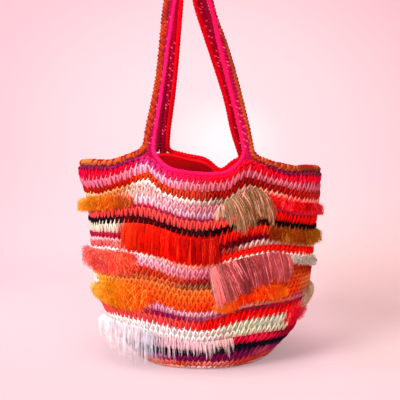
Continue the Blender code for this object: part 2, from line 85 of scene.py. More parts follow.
# how far the front of the rounds is lifted at a height: (bearing, millimetres) stops
rowLifts = (
    (0.0000, ((-90, 0), (90, 0))),
    (0.0154, ((-90, 0), (-1, 0.6), (14, -1), (26, -0.4), (39, 3.4), (61, 4.4), (90, 3))),
    (0.0260, ((-90, 0), (-1, -1.2), (6, 0.1), (36, 5.6), (70, 3.7), (90, 2))),
    (0.0375, ((-90, -1), (-50, 1.6), (-1, -2.7), (22, 4.1), (37, 5.1), (67, 1.8), (90, 1))),
    (0.0519, ((-90, -2), (-60, 3), (-40, 3), (-1, -4.5), (5, -1.8), (24, 2.4), (38, 4.3), (57, 1.6), (90, 0.5))),
    (0.0700, ((-90, -3), (-81, -0.4), (-60, 4.6), (-44, 5.6), (-30, 3.9), (-12, -3.2), (-1, -6.2), (5, -5.2),
        (22, 7), (35, 9.9), (57, 10.1), (90, 7))),
    (0.0832, ((-90, -2.6), (-70, 5.2), (-42, 6.9), (-28, 4.7), (-11, -2.6), (0, -5), (10, 0.8), (21, 9.1),
        (34, 9.6), (53, 9.6), (74, 9.4), (90, 8))),
    (0.0973, ((-90, -1), (-60, 7), (-31, 8), (-22, 5.5), (-11, -3.2), (0, -4.8), (11, -0.3), (21, 4.2), (32, 9),
        (46, 9.3), (68, 8.5), (90, 6))),
    (0.1340, ((-90, 0), (-54, 8.7), (-40, 11.5), (-28, 11.3), (-19, 5.8), (-9, -0.3), (0, -0.8), (18, 4), (32, 9),
        (60, 4), (90, -2))),
    (0.1420, ((-90, 0), (-54, 12), (-38, 17.4), (-31, 15), (-23, 10.2), (-15, 1.6), (-7, -2.2), (2, -1.5), (18, 3),
        (32, 9), (60, 2), (90, -4))),
    (0.1633, ((-90, 1), (-75, 5.4), (-54, 12.1), (-46, 11.7), (-39, 9.9), (-31, 8.9), (-22, 6.2), (-12, -1.9),
        (-6, -5.4), (3, -4.9), (15, 2.1), (23, 7.4), (31, 9.6), (39, 9.9), (50, 3.7), (86, -11.5), (90, -11.5))),
    (0.1780, ((-90, 0.5), (-78, 0.7), (-61, 6.7), (-37, 10), (-20, 5), (-8, -4), (1, -6.4), (8, -4.9), (19, 3.3),
        (30, 8.5), (42, 8), (60, 0), (86, -11.4), (90, -11.5))),
    (0.1830, ((-90, 0.8), (-78, 1), (-61, 6.8), (-37, 10.6), (-20, 6), (-6, -3.4), (4, -3.6), (10, -0.8), (16, 3.6),
        (23, 8.4), (30, 12), (36, 11.6), (59, -1.1), (82, -11.1), (90, -11))),
    (0.1910, ((-90, 1.5), (-76, 1.9), (-60, 7.1), (-38, 12), (-20, 8), (0, -2.2), (9, -3.1), (16, 4.8), (24, 10.1),
        (36, 10.2), (58, 0.5), (86, -10.1), (90, -10))),
    (0.2090, ((-90, 4.6), (-73, 5.4), (-59, 9.7), (-36, 19.6), (-28, 19), (-20, 13), (-10, 4), (0, 0.1), (11, 5.3),
        (19, 13.1), (29, 17.3), (48, 6.1), (76, -6.5), (90, -8))),
    (0.2188, ((-90, 6), (-76, 6.3), (-58, 11.5), (-36, 21.6), (-27, 23.1), (-20, 17), (-10, 8), (0, 4.1), (11, 6.5),
        (19, 17.1), (28, 23), (38, 15.6), (56, 4.8), (80, -3.7), (90, -5))),
    (0.2416, ((-90, 0.6), (-77, 1.3), (-57, 6.7), (-42, 17.9), (-31, 28.8), (-26, 32.3), (-19, 14.8), (-10, 5.7),
        (0, 1.8), (13, 5.6), (18, 19.1), (24, 24.1), (34, 14.3), (55, -1.5), (78, -9.2), (90, -9.5))),
    (0.2592, ((-90, -2), (-77, -1.7), (-56, 3.4), (-41, 15), (-29, 27.9), (-25, 32.6), (-19, 15), (-10, 7.3),
        (0, 4.1), (13, 5.7), (18, 19.3), (23, 24.4), (34, 13.3), (54, -0.5), (77, -9.1), (90, -9.5))),
    (0.2702, ((-90, -0.5), (-69, 0.8), (-56, 3.9), (-40, 15.3), (-30, 27.8), (-26, 33.2), (-21, 19), (-14, 9.1),
        (0, 4.7), (13, 7.7), (18, 19.3), (23, 24.4), (29, 15.4), (37, 7.4), (54, -1.5), (73, -7.4), (90, -8))),
    (0.2805, ((-90, -0.5), (-69, 0.8), (-56, 3.9), (-40, 15.3), (-30, 27.8), (-26, 31), (-21, 23.5), (-18, 14.2),
        (-14, 7.5), (-5, 3.2), (4, 1.6), (12, 3.2), (16, 9.8), (18, 17.1), (20, 22.5), (23, 25.5), (29, 15.4),
        (37, 7.4), (54, -1.5), (73, -7.4), (90, -8))),
)


def linear(shade):
    # a colour given as 0-255 values, for a shader's linear input
    result = []
    for value in shade:
        share = value / 255.0
        result.append(share / 12.92 if share <= 0.04045 else ((share + 0.055) / 1.055) ** 2.4)
    return (*result, 1.0)


def bell(distance, spread):
    return np.exp(-0.5 * (distance / spread) ** 2)


def swell(bearing, shape):
    size, middle, spread = shape
    return size * bell(bearing - middle, spread)


def ease(value, start, end):
    share = np.clip((value - start) / (end - start), 0.0, 1.0)
    return share * share * (3.0 - 2.0 * share)


def curve(low, slopeLow, high, slopeHigh, t):
    # a smooth curve between two ends that leaves each at its slope
    return ((2 * t ** 3 - 3 * t ** 2 + 1) * low + (t ** 3 - 2 * t ** 2 + t) * slopeLow
            + (3 * t ** 2 - 2 * t ** 3) * high + (t ** 3 - t ** 2) * slopeHigh)


def sectionTable():
    # heights, half widths and half depths along the smooth curve through the sections
    knots, parts = bag["sections"], bag["sectionParts"]
    last = len(knots) - 1
    table = []
    for index in range(last):
        low, high = knots[index], knots[index + 1]
        before, after = knots[max(index - 1, 0)], knots[min(index + 2, last)]
        span = high[0] - low[0]
        for part in range(parts):
            t = part / parts
            table.append([low[0] + span * t] + [
                curve(low[axis], (high[axis] - before[axis]) / (high[0] - before[0]) * span,
                      high[axis], (after[axis] - low[axis]) / (after[0] - low[0]) * span, t)
                for axis in (1, 2)])
    return np.array(table).T


heightTable, widthTable, depthTable = sectionTable()


def halfSizes(height):
    return np.interp(height, heightTable, widthTable), np.interp(height, heightTable, depthTable)


def makeLiftGrid():
    # the lifts in metres for every degree, with the corners softened
    degrees = np.arange(-bag["liftSpan"], bag["liftSpan"] + 1)
    softening = bell(np.arange(-5, 6), bag["liftSoftness"])
    rows = []
    for _, stops in rowLifts:
        row = np.interp(degrees, *np.array(stops, float).T) / 1000.0
        rows.append(np.convolve(np.pad(row, 5, mode="edge"), softening / softening.sum(), mode="valid"))
    return np.array([row[0] for row in rowLifts]), np.array(rows)


liftLevels, liftGrid = makeLiftGrid()


def measuredLift(bearing, height):
    span = float(bag["liftSpan"])
    column = np.clip(bearing, -span, span) + span
    level = np.interp(height, liftLevels, np.arange(len(liftLevels)))
    column, level = np.broadcast_arrays(column, level)
    left = np.floor(column).astype(int).clip(0, liftGrid.shape[1] - 2)
    low = np.floor(level).astype(int).clip(0, len(liftLevels) - 2)
    across, up = column - left, level - low
    return ((liftGrid[low, left] * (1 - across) + liftGrid[low, left + 1] * across) * (1 - up)
            + (liftGrid[low + 1, left] * (1 - across) + liftGrid[low + 1, left + 1] * across) * up)


def wave(bearing, height):
    # how far a round is lifted at a bearing
    bearing = (bearing + 180.0) % 360.0 - 180.0
    side = np.abs(bearing)
    fade = ease(height, bag["flatBelow"], bag["fullAbove"])
    shift = (bag["rimHeight"] - height) * bag["climb"]
    back = (180.0 - side) * np.where(bearing > 0.0, 1.0, -1.0)
    lift = 0.0
    for where, face in ((bearing, "front"), (back, "back")):
        crests = (bag[face + key] for key in ("Shares", "Feet", "Widths"))
        for share, foot, width, way in zip(*crests, (1.0, -1.0)):
            lift = lift + share * bell(where - foot + way * shift, bag["footSpread"] * width)
    lift = lift * bag["footRise"] * fade
    lift = lift - bag["backDip"] * fade * bell(back - bag["backDipBearing"], bag["backDipSpread"])
    lift = lift - bag["sideTilt"] * fade * np.sin(np.radians(bearing))
    level, spread = bag["bellyLevel"]
    lift = lift - swell(bearing, bag["bellySag"]) * bell(height - level, spread)
    rim = swell(side, bag["sideRise"]) - swell(side, bag["sideFall"]) - swell(bearing, bag["frontSag"])
    lift = lift + rim * ease(height, bag["lastRound"], bag["rimHeight"])
    measured = ((1.0 - ease(side, *bag["liftReach"]))
                * (1.0 - ease(height, *bag["rimBand"]) * ease(side, *bag["rimFeet"])))
    return lift + (measuredLift(bearing, height) - lift) * measured


def sideShift(sine, height):
    # how far the sagging sides lean across, in metres to the right
    left = np.interp(height, *np.array(bag["leftLean"]).T)
    right = np.interp(height, *np.array(bag["rightLean"]).T)
    return np.maximum(-sine, 0.0) ** 2 * left + np.maximum(sine, 0.0) ** 2 * right


def wallPoint(bearing, height, outward=0.0):
    # places on the bag's wall, for numbers or whole arrays
    bearing, height, outward = np.broadcast_arrays(
        np.asarray(bearing, float), np.asarray(height, float), np.asarray(outward, float))
    halfWidth, halfDepth = halfSizes(height)
    angle = np.radians(bearing)
    sine = np.sin(angle)
    return np.stack(((halfWidth + outward) * sine + sideShift(sine, height), -(halfDepth + outward) * np.cos(angle),
                     height + wave(bearing, height)), axis=-1)


def wallNormal(bearing, height):
    across = wallPoint(bearing + 0.5, height) - wallPoint(bearing - 0.5, height)
    upward = wallPoint(bearing, height + 0.002) - wallPoint(bearing, np.maximum(height - 0.002, 0.0))
    normal = np.cross(across, upward)
    return normal / np.linalg.norm(normal, axis=-1, keepdims=True)


def evenBearings(height, pitch):
    # bearings spaced evenly along the round, and the turn of one stitch at each
    fine = np.linspace(-180.0, 180.0, 1441)
    halfWidth, halfDepth = halfSizes(np.full(fine.shape, height))
    angle = np.radians(fine)
    speed = np.hypot(halfWidth * np.cos(angle), halfDepth * np.sin(angle))
    length = np.concatenate(([0.0], np.cumsum((speed[1:] + speed[:-1]) / 2 * np.diff(angle))))
    count = max(1, int(round(length[-1] / pitch)))
    bearings = np.interp((np.arange(count) + 0.5) / count * length[-1], length, fine)
    return bearings, np.degrees(length[-1] / count / np.interp(bearings, fine, speed))


def makeObject(name, verts, quads, uvs=None, values=None):
    # a mesh object from arrays, with a UV map and any per-vertex values
    verts = np.array(verts, np.float32)
    verts[:, 2] = np.maximum(verts[:, 2], 0.0)  # nothing sinks into the floor
    mesh = bpy.data.meshes.new(name)
    mesh.vertices.add(len(verts))
    mesh.vertices.foreach_set("co", verts.ravel())
    mesh.loops.add(quads.size)
    mesh.loops.foreach_set("vertex_index", quads.astype(np.int32).ravel())
    mesh.polygons.add(len(quads))
    mesh.polygons.foreach_set("loop_start", np.arange(0, quads.size, 4, dtype=np.int32))
    mesh.polygons.foreach_set("use_smooth", np.full(len(quads), True))
    if uvs is not None:
        mesh.uv_layers.new(name="yarn").data.foreach_set("uv", np.asarray(uvs, np.float32).ravel())
    for key, array in (values or {}).items():
        attribute = mesh.attributes.new(key, "FLOAT", "POINT")
        attribute.data.foreach_set("value", np.asarray(array, np.float32).ravel())
    mesh.update(calc_edges=True)
    mesh.validate()
    return addItem(name, mesh)


def addItem(name, data):
    item = bpy.data.objects.new(name, data)
    bpy.context.scene.collection.objects.link(item)
    return item


def sweepStrands(paths, radii, facing, sides, flatness=1.0):
    # tapering tubes along many paths at once; facing is the way out of the cloth
    count, steps = paths.shape[:2]
    along = np.gradient(paths, axis=1)
    along /= np.linalg.norm(along, axis=2, keepdims=True) + 1e-12
    across = np.cross(along, facing)
    across /= np.linalg.norm(across, axis=2, keepdims=True) + 1e-12
    depth = np.cross(across, along)
    turn = 2.0 * math.pi * np.arange(sides) / sides
    ring = (across[:, :, None, :] * np.cos(turn)[None, None, :, None]
            + depth[:, :, None, :] * (np.sin(turn) * flatness)[None, None, :, None])
    verts = paths[:, :, None, :] + ring * np.broadcast_to(radii, (count, steps))[:, :, None, None]
    step, side = np.meshgrid(np.arange(steps - 1), np.arange(sides), indexing="ij")
    after = (side + 1) % sides
    quads = np.stack((step * sides + side, (step + 1) * sides + side,
                      (step + 1) * sides + after, step * sides + after), axis=-1).reshape(-1, 4)
    every = (np.arange(count) * steps * sides)[:, None, None] + quads[None]
    uv = np.stack((np.stack((side, step), -1), np.stack((side, step + 1), -1),
                   np.stack((side + 1, step + 1), -1), np.stack((side + 1, step), -1)), axis=-2)
    uv = uv.reshape(-1, 2) / np.array((sides, steps - 1))
    return verts.reshape(-1, 3), every.reshape(-1, 4), np.tile(uv, (count, 1))


def gridQuads(columns, rows):
    # the faces of a grid of points, column by column
    column, row = np.meshgrid(np.arange(columns), np.arange(rows), indexing="ij")
    low = column * (rows + 1) + row
    return np.stack((low, low + rows + 1, low + rows + 2, low + 1), -1).reshape(-1, 4)


def perVertex(values, steps, sides):
    # one value for each strand, or each step of each strand, spread over its vertices
    values = np.asarray(values, float)
    if values.ndim == 1:
        values = np.repeat(values[:, None], steps, axis=1)
    return np.repeat(values, sides, axis=1).ravel()


def joined(parts):
    # several (verts, quads, uvs, values) sets as one
    starts = np.cumsum([0] + [len(part[0]) for part in parts])
    return (np.concatenate([part[0] for part in parts]),
            np.concatenate([part[1] + start for part, start in zip(parts, starts)]),
            np.concatenate([part[2] for part in parts]),
            {key: np.concatenate([part[3][key] for part in parts]) for key in parts[0][3]})


# materials

def feed(tree, node, inputs):
    # each input takes a value or the output that is linked to it
    for key, value in inputs.items():
        if isinstance(value, bpy.types.NodeSocket):
            tree.links.new(value, node.inputs[key])
        else:
            node.inputs[key].default_value = value


def addNode(tree, kind, inputs=None, **settings):
    node = tree.nodes.new("ShaderNode" + kind)
    for key, value in settings.items():
        setattr(node, key, value)
    feed(tree, node, inputs or {})
    return node


def addGroup(name, inputs, outputs):
    group = bpy.data.node_groups.new(name, "ShaderNodeTree")
    for label, value in inputs.items():
        kind = "NodeSocketFloat" if isinstance(value, float) else "NodeSocketColor"
        group.interface.new_socket(label, in_out="INPUT", socket_type=kind).default_value = value
    for label, kind in outputs.items():
        group.interface.new_socket(label, in_out="OUTPUT", socket_type=kind)
    return group, group.nodes.new("NodeGroupInput").outputs, group.nodes.new("NodeGroupOutput")


def mathNode(tree, operation, *values):
    return addNode(tree, "Math", dict(enumerate(values)), operation=operation).outputs[0]


def vectorNode(tree, operation, *values):
    return addNode(tree, "VectorMath", dict(enumerate(values)), operation=operation).outputs[0]


def scaled(tree, colour, share):
    return addNode(tree, "VectorMath", {0: colour, "Scale": share}, operation="SCALE").outputs[0]


def objectPlace(tree):
    return addNode(tree, "TexCoord").outputs["Object"]


def noise(tree, scale, detail):
    return addNode(tree, "TexNoise", {"Vector": objectPlace(tree), "Scale": scale, "Detail": detail}).outputs[0]


def vertexValue(tree, name):
    return addNode(tree, "Attribute", attribute_name=name).outputs["Fac"]


def shareBetween(tree, value, low, high, start=0.0, end=1.0, kind="SMOOTHSTEP"):
    return addNode(tree, "MapRange", {"Value": value, "From Min": low, "From Max": high, "To Min": start,
                                      "To Max": end}, interpolation_type=kind).outputs["Result"]


def rampNode(tree, value, stops, kind="EASE"):
    # a colour for each share from 0 to 1: (share, linear colour) stops
    node = addNode(tree, "ValToRGB", {"Fac": value})
    node.color_ramp.interpolation = kind
    elements = node.color_ramp.elements
    while len(elements) < len(stops):
        elements.new(0.5)
    while len(elements) > max(1, len(stops)):
        elements.remove(elements[-1])
    for element, (where, colour) in zip(elements, stops):
        element.position = where
        element.color = colour
    return node.outputs["Color"]


def mixShaders(tree, share, first, second):
    return addNode(tree, "MixShader", {"Fac": share, 1: first, 2: second}).outputs[0]


def newMaterial(name, roughness, shine):
    material = bpy.data.materials.new(name)
    material.use_nodes = True
    tree = material.node_tree
    shader = tree.nodes["Principled BSDF"]
    feed(tree, shader, {"Roughness": roughness, "Specular IOR Level": shine})
    return material, tree, shader


def makePlyGroup():
    # spun yarn: slanting plies with painted shade in their grooves, loose fibres and a slow drift of the dye
    group, given, result = addGroup(
        "yarnPly", {"Color": (0.8, 0.1, 0.1, 1.0), "Plies": 2.0, "Twist": 1.4, "Depth": 0.45},
        {"Color": "NodeSocketColor", "Normal": "NodeSocketVector"})
    around, along = addNode(group, "SeparateXYZ", {0: addNode(group, "UVMap", uv_map="yarn").outputs[0]}).outputs[:2]
    phase = mathNode(group, "ADD", mathNode(group, "MULTIPLY", around, given["Plies"]),
                     mathNode(group, "MULTIPLY", along, given["Twist"]))
    phase = mathNode(group, "MULTIPLY", phase, 2.0 * math.pi)
    ply = mathNode(group, "MULTIPLY_ADD", mathNode(group, "SINE", phase), 0.5, 0.5)
    fibre = noise(group, 900.0, 2.0)
    # painted shade: the colour darkens in the grooves between the plies
    light = mathNode(group, "MULTIPLY_ADD", ply, 0.22, 0.80)
    for value, strength in ((fibre, 0.24), (noise(group, 45.0, 1.0), 0.30), (vertexValue(group, "tint"), 0.26)):
        light = mathNode(group, "ADD", light, mathNode(group, "MULTIPLY_ADD", value, strength, -strength / 2))
    # painted shade: the colour darkens by half the paintedShade value, which post roots, curls, strap cores, webs and
    # the backing carry
    shade = mathNode(group, "MULTIPLY_ADD", vertexValue(group, "paintedShade"), -0.50, 1.0)
    light = mathNode(group, "MULTIPLY", light, shade)
    height = mathNode(group, "ADD", ply, mathNode(group, "MULTIPLY", fibre, 0.35))
    bump = addNode(group, "Bump", {"Distance": 0.0006, "Strength": given["Depth"], "Height": height})
    feed(group, result, {"Color": scaled(group, given["Color"], light), "Normal": bump.outputs[0]})
    return group


def makeHairGroup():
    # combed fibre: a painted brightness along each strand, from PaintedRootLevel at the root to full at the tip,
    # painted shade at the root below 1 and painted light above 1, with light and dark locks
    group, given, result = addGroup(
        "hairTone", {"Color": (0.8, 0.1, 0.1, 1.0), "PaintedRootLevel": 0.6, "Spread": 0.5}, {"Color": "NodeSocketColor"})
    rise = mathNode(group, "SUBTRACT", 1.0, given["PaintedRootLevel"])
    light = mathNode(group, "MULTIPLY_ADD", vertexValue(group, "along"), rise, given["PaintedRootLevel"])
    tint = mathNode(group, "SUBTRACT", vertexValue(group, "tint"), 0.5)
    light = mathNode(group, "ADD", light, mathNode(group, "MULTIPLY", tint, given["Spread"]))
    light = mathNode(group, "ADD", light, mathNode(group, "MULTIPLY_ADD", noise(group, 120.0, 1.0), 0.5, -0.25))
    light = mathNode(group, "MAXIMUM", light, 0.08)
    feed(group, result, {"Color": scaled(group, given["Color"], light)})
    return group


plyGroup = makePlyGroup()
hairGroup = makeHairGroup()


def colourFromStops(tree, stops, flecks=None):
    # the colour along a round or a band from its stops, dye with painted light and shade where noted, and a share of
    # its stitches in a second colour
    share = shareBetween(tree, vertexValue(tree, "around"), -180.0, 180.0, kind="LINEAR")
    colour = rampNode(tree, share, [((bearing + 180.0) / 360.0, linear(shade)) for bearing, *shade in stops])
    if not flecks:
        return colour
    chosen = mathNode(tree, "GREATER_THAN", vertexValue(tree, "tint"), 1.0 - flecks[1])
    return addNode(tree, "Mix", {"Factor": chosen, 6: colour, 7: linear(flecks[0])}, data_type="RGBA").outputs[2]


def yarnMaterial(name, stops, twist=1.4, flecks=None):
    material, tree, shader = newMaterial("yarn_" + name, 0.9, 0.04)
    ply = addNode(tree, "Group", {"Twist": twist, "Color": colourFromStops(tree, stops, flecks)}, node_tree=plyGroup)
    feed(tree, shader, {"Base Color": ply.outputs["Color"], "Normal": ply.outputs["Normal"]})
    return material


def hairMaterial(name, stops, flecks, root, spread):
    material, tree, shader = newMaterial("hair_" + name, 0.6, 0.08)
    tone = addNode(tree, "Group", {"PaintedRootLevel": root, "Spread": spread, "Color": colourFromStops(tree, stops, flecks)},
                   node_tree=hairGroup).outputs["Color"]
    feed(tree, shader, {"Base Color": tone})
    through = addNode(tree, "BsdfTranslucent", {"Color": tone})
    blend = mixShaders(tree, 0.45, shader.outputs[0], through.outputs[0])
    feed(tree, tree.nodes["Material Output"], {"Surface": blend})
    return material


def place(item, material, slot, *nodes):
    item.data.materials.append(material)
    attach(item, "root")
    if nodes:
        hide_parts(*nodes)


# crochet rounds, from the rim down: top height, and the colour as (bearing, red, green, blue) stops, mostly dye, with
# painted light and shade where noted
rounds = (
    ("purpleEdge", 0.2810, ((-100, 110, 24, 70), (-34, 130, 20, 80), (-24, 226, 30, 110), (-10, 240, 14, 70),
        (10, 246, 6, 44), (24, 226, 10, 50), (34, 120, 16, 60), (100, 110, 40, 50))),
    ("magenta", 0.2775, ((-90, 204, 8, 62), (-55, 220, 6, 40), (-36, 212, 4, 44), (-26, 226, 50, 124),
        (-8, 234, 26, 76), (8, 238, 0, 20), (20, 224, 0, 12), (48, 246, 4, 42), (62, 246, 2, 44),
        (88, 206, 14, 60))),
    ("lightPink", 0.2702, ((-90, 230, 100, 130), (-40, 236, 114, 134), (-25, 240, 164, 190), (0, 230, 112, 126),
        (14, 200, 84, 100), (50, 224, 104, 122), (86, 204, 86, 104))),
    ("rust", 0.2592, ((-90, 170, 30, 12), (-55, 174, 20, 4), (-38, 184, 16, 4), (-27, 216, 60, 16),
        (-5, 196, 54, 34), (8, 150, 12, 8), (20, 134, 4, 2), (34, 158, 16, 10), (50, 186, 18, 12),
        (85, 176, 38, 36))),
    ("cream", 0.2479, ((-90, 244, 200, 150), (-39, 214, 130, 76), (-33, 238, 200, 186), (-27, 255, 236, 230),
        (-8, 238, 210, 200), (5, 154, 130, 108), (18, 158, 124, 98), (34, 238, 140, 122), (50, 255, 108, 100),
        (80, 255, 130, 126))),
    ("palePink", 0.2416, ((-60, 240, 130, 50), (-42, 228, 124, 70), (-34, 236, 176, 160), (-14, 242, 170, 184),
        (-3, 216, 126, 138), (6, 190, 110, 122), (15, 234, 124, 142), (36, 255, 26, 20), (80, 255, 4, 10))),
    ("lilac", 0.2313, ((-60, 246, 140, 60), (-36, 250, 196, 206), (-12, 228, 166, 180), (2, 184, 130, 144),
        (14, 224, 134, 152), (36, 250, 28, 44), (80, 250, 46, 70))),
    ("wine", 0.2215, ((-60, 210, 60, 50), (-30, 190, 30, 70), (-5, 150, 44, 86), (14, 150, 20, 60),
        (40, 160, 24, 62), (66, 190, 40, 90))),
    ("coral", 0.2188, ((-85, 240, 90, 92), (-50, 234, 62, 56), (-25, 232, 74, 72), (0, 232, 70, 64),
        (26, 250, 44, 38), (42, 226, 8, 6), (80, 232, 14, 14))),
    ("black", 0.2090, ((-85, 24, 8, 20), (-48, 26, 10, 20), (-40, 80, 10, 12), (-22, 56, 8, 14),
        (-12, 28, 8, 16), (-2, 44, 18, 20), (6, 12, 2, 4), (24, 10, 0, 2), (40, 18, 6, 10))),
    ("sage", 0.2020, ((-85, 216, 208, 184), (-46, 226, 212, 190), (-40, 210, 24, 8), (-26, 190, 12, 2),
        (2, 184, 10, 2), (12, 206, 18, 6), (33, 232, 26, 10), (38, 150, 64, 16))),
    ("burgundy", 0.1910, ((-85, 160, 18, 54), (-44, 180, 24, 56), (-38, 190, 12, 8), (4, 130, 2, 4),
        (16, 94, 0, 12), (36, 106, 2, 24), (60, 140, 46, 16))),
    ("paleLine", 0.1830, ((-85, 236, 190, 200), (-44, 240, 150, 140), (-38, 200, 30, 20), (-8, 210, 44, 36),
        (2, 172, 22, 16), (17, 138, 50, 46), (26, 204, 156, 146), (60, 230, 180, 160))),
    ("brightRed", 0.1780, ((-85, 224, 90, 94), (-56, 226, 90, 92), (-44, 248, 132, 122), (-38, 236, 30, 20),
        (0, 244, 12, 6), (30, 250, 20, 8), (60, 244, 20, 10))),
    ("peach", 0.1665, ((-85, 255, 226, 224), (-46, 255, 236, 226), (-34, 252, 232, 224), (-20, 255, 196, 176),
        (-4, 255, 150, 120), (10, 234, 150, 130), (20, 240, 200, 180), (30, 250, 244, 226), (44, 226, 206, 190),
        (60, 230, 212, 194))),
    ("pinkHigh", 0.1600, ((-80, 250, 76, 60), (-42, 244, 90, 90), (-34, 246, 180, 196), (-14, 240, 160, 176),
        (-2, 236, 130, 154), (6, 204, 104, 126), (20, 240, 128, 146), (47, 150, 24, 16), (80, 150, 30, 16))),
    ("pinkLow", 0.1505, ((-80, 255, 76, 50), (-44, 230, 40, 30), (-34, 240, 150, 170), (-18, 236, 134, 140),
        (-2, 204, 96, 108), (6, 164, 72, 84), (16, 220, 106, 118), (47, 186, 40, 14), (80, 166, 34, 14))),
    ("brick", 0.1420, ((-80, 240, 110, 60), (-46, 206, 50, 30), (-26, 200, 50, 22), (-14, 208, 60, 26),
        (-2, 166, 28, 26), (6, 146, 18, 20), (20, 196, 40, 28), (50, 206, 60, 20), (80, 150, 30, 10))),
    ("darkGold", 0.1340, ((-80, 248, 180, 100), (-46, 200, 84, 46), (-30, 176, 76, 44), (-16, 216, 96, 50),
        (-6, 144, 80, 54), (6, 128, 76, 44), (30, 240, 80, 20), (60, 220, 76, 20), (80, 180, 60, 20))),
    # orangeHigh and orangeMid turn cream at their far left end (-80): a painted highlight
    ("orangeHigh", 0.1270, ((-80, 255, 240, 214), (-68, 250, 170, 60), (-30, 240, 110, 48), (-10, 234, 112, 48),
        (4, 244, 114, 48), (18, 255, 92, 20), (60, 228, 66, 20), (72, 214, 112, 62))),
    ("orangeMid", 0.1200, ((-80, 255, 244, 220), (-68, 250, 160, 40), (-30, 246, 100, 30), (-10, 250, 112, 32),
        (6, 255, 96, 26), (20, 255, 84, 16), (60, 236, 60, 18), (72, 226, 112, 52))),
    ("orangeLow", 0.1125, ((-80, 240, 120, 70), (-30, 246, 90, 22), (-10, 250, 90, 22), (8, 244, 70, 20),
        (60, 232, 56, 18), (72, 200, 104, 54))),
    ("flame", 0.1045, ((-80, 240, 90, 70), (-30, 240, 92, 20), (-12, 248, 72, 8), (4, 244, 46, 4),
        (50, 240, 70, 20), (60, 208, 46, 24), (70, 196, 98, 58))),
    ("lilacLow", 0.0973, ((-80, 255, 110, 100), (-34, 236, 130, 100), (-27, 226, 140, 170), (-4, 228, 156, 164),
        (8, 216, 150, 156), (32, 220, 124, 100), (48, 220, 92, 64), (66, 192, 94, 118))),
    ("wineLow", 0.0889, ((-80, 248, 84, 80), (-36, 240, 80, 70), (-26, 140, 14, 70), (-14, 132, 26, 80),
        (4, 160, 68, 102), (20, 136, 18, 60), (32, 112, 18, 52), (48, 174, 16, 42), (66, 144, 4, 44))),
    ("redLow", 0.0832, ((-80, 246, 76, 70), (-50, 240, 74, 72), (-20, 234, 72, 72), (-8, 230, 62, 60),
        (2, 240, 16, 14), (20, 240, 8, 6), (56, 246, 16, 20), (76, 255, 70, 80))),
    ("white", 0.0700, ((-80, 248, 236, 232), (-14, 244, 228, 224), (-4, 246, 240, 236), (2, 232, 218, 208),
        (10, 226, 208, 194), (19, 206, 200, 172), (57, 214, 214, 186), (61, 230, 10, 40))),
    ("whiteLow", 0.0610, ((-80, 255, 250, 250), (-8, 248, 232, 228), (8, 230, 208, 196), (24, 208, 208, 176),
        (57, 214, 216, 184), (60, 216, 8, 40))),
    # blush is darker at -25 as painted shade under the white fringe
    ("blush", 0.0519, ((-80, 250, 234, 236), (-25, 220, 174, 186), (-12, 244, 196, 206), (4, 246, 188, 200),
        (14, 244, 150, 164), (19, 222, 20, 56), (44, 230, 26, 66), (60, 150, 4, 38))),
    ("navy", 0.0375, ((-80, 70, 80, 92), (-40, 76, 74, 86), (-22, 10, 4, 20), (-2, 16, 16, 30), (6, 50, 54, 64),
        (14, 14, 10, 26), (60, 24, 12, 32))),
    ("purple", 0.0260, ((-80, 180, 112, 150), (-40, 194, 136, 180), (-24, 140, 18, 90), (6, 130, 8, 74),
        (36, 124, 20, 76), (46, 184, 60, 92), (66, 128, 16, 84))),
    ("rustLow", 0.0154, ((-80, 236, 160, 140), (-40, 242, 150, 132), (-20, 222, 74, 50), (0, 226, 110, 96),
        (14, 226, 116, 106), (30, 196, 50, 40), (60, 190, 60, 60))),
    ("hem", 0.0070, ((-80, 255, 226, 214), (-44, 255, 160, 134), (-20, 255, 172, 146), (0, 255, 200, 194),
        (20, 236, 144, 130), (30, 200, 80, 52), (40, 210, 92, 76), (60, 220, 160, 160))),
)
stitch = {
    "postSteps": 7, "postSides": 5, "curlSteps": 6, "curlSides": 4,
    "spike": 0.41,          # how far a tip reaches into the round above, of a round's height
    "lean": 0.34,           # slant of a post, of a stitch's pitch
    "radius": 0.0018,
    "out": 0.0014,          # how far the stitches stand out
    "dyeWobble": 1.6,
    "changeReach": 62.0,    # how far from the back middle a round may change its yarn
    "backingColumns": 96, "backingOut": 0.0002, "backingLap": 0.001,
    "rimSpike": -0.04,
    "seed": 99,
    # shapes along a strand, from its root to its tip
    "postBend": ((0.0, 0.35, 1.0), (-0.34, -0.16, 0.26)),
    "postBow": ((0.0, 0.3, 0.65, 1.0), (-0.0012, 0.0006, 0.0008, 0.0002)),
    "postGirth": ((0.0, 0.25, 0.55, 0.75, 1.0), (0.75, 1.0, 0.84, 0.50, 0.20)),
    # painted shade along a post, darkest at its root where it dives under the round below
    "postPaintedShade": ((0.0, 0.3, 1.0), (0.30, 0.04, 0.0)),
    "curlRise": ((0.0, 0.4, 0.7, 1.0), (-0.08, 0.42, 0.74, 0.80)),
    "curlBend": ((0.0, 0.4, 0.7, 1.0), (0.22, 0.40, 0.30, 0.02)),
    "curlBow": ((0.0, 0.4, 1.0), (-0.0014, 0.0001, 0.0003)),
    "curlGirth": ((0.0, 0.3, 0.8, 1.0), (0.7, 1.0, 0.9, 0.5)),
    # painted shade over the whole curl
    "curlPaintedShade": 0.14,
}


def shape(name, along):
    return np.interp(along, *stitch[name])


def dyeAt(bearings, change):
    # where the yarn changes at the back, each round at a place of its own
    dye = np.where(bearings > 180.0 - change, -178.0, bearings)
    return np.where(bearings < -180.0 - change, 178.0, dye)


def stitchStrands(rng, bearings, change, sway, height, outward, radii, sides, paintedShade):
    verts, quads, uvs = sweepStrands(wallPoint(sway, height, outward), radii, wallNormal(sway, height), sides)
    count, steps = sway.shape
    hue = bearings + rng.normal(0.0, stitch["dyeWobble"], count)
    return verts, quads, uvs, {
        "around": perVertex(dyeAt(hue, change), steps, sides), "tint": perVertex(rng.random(count), steps, sides),
        "paintedShade": perVertex(np.repeat(paintedShade[None], count, axis=0), steps, sides)}


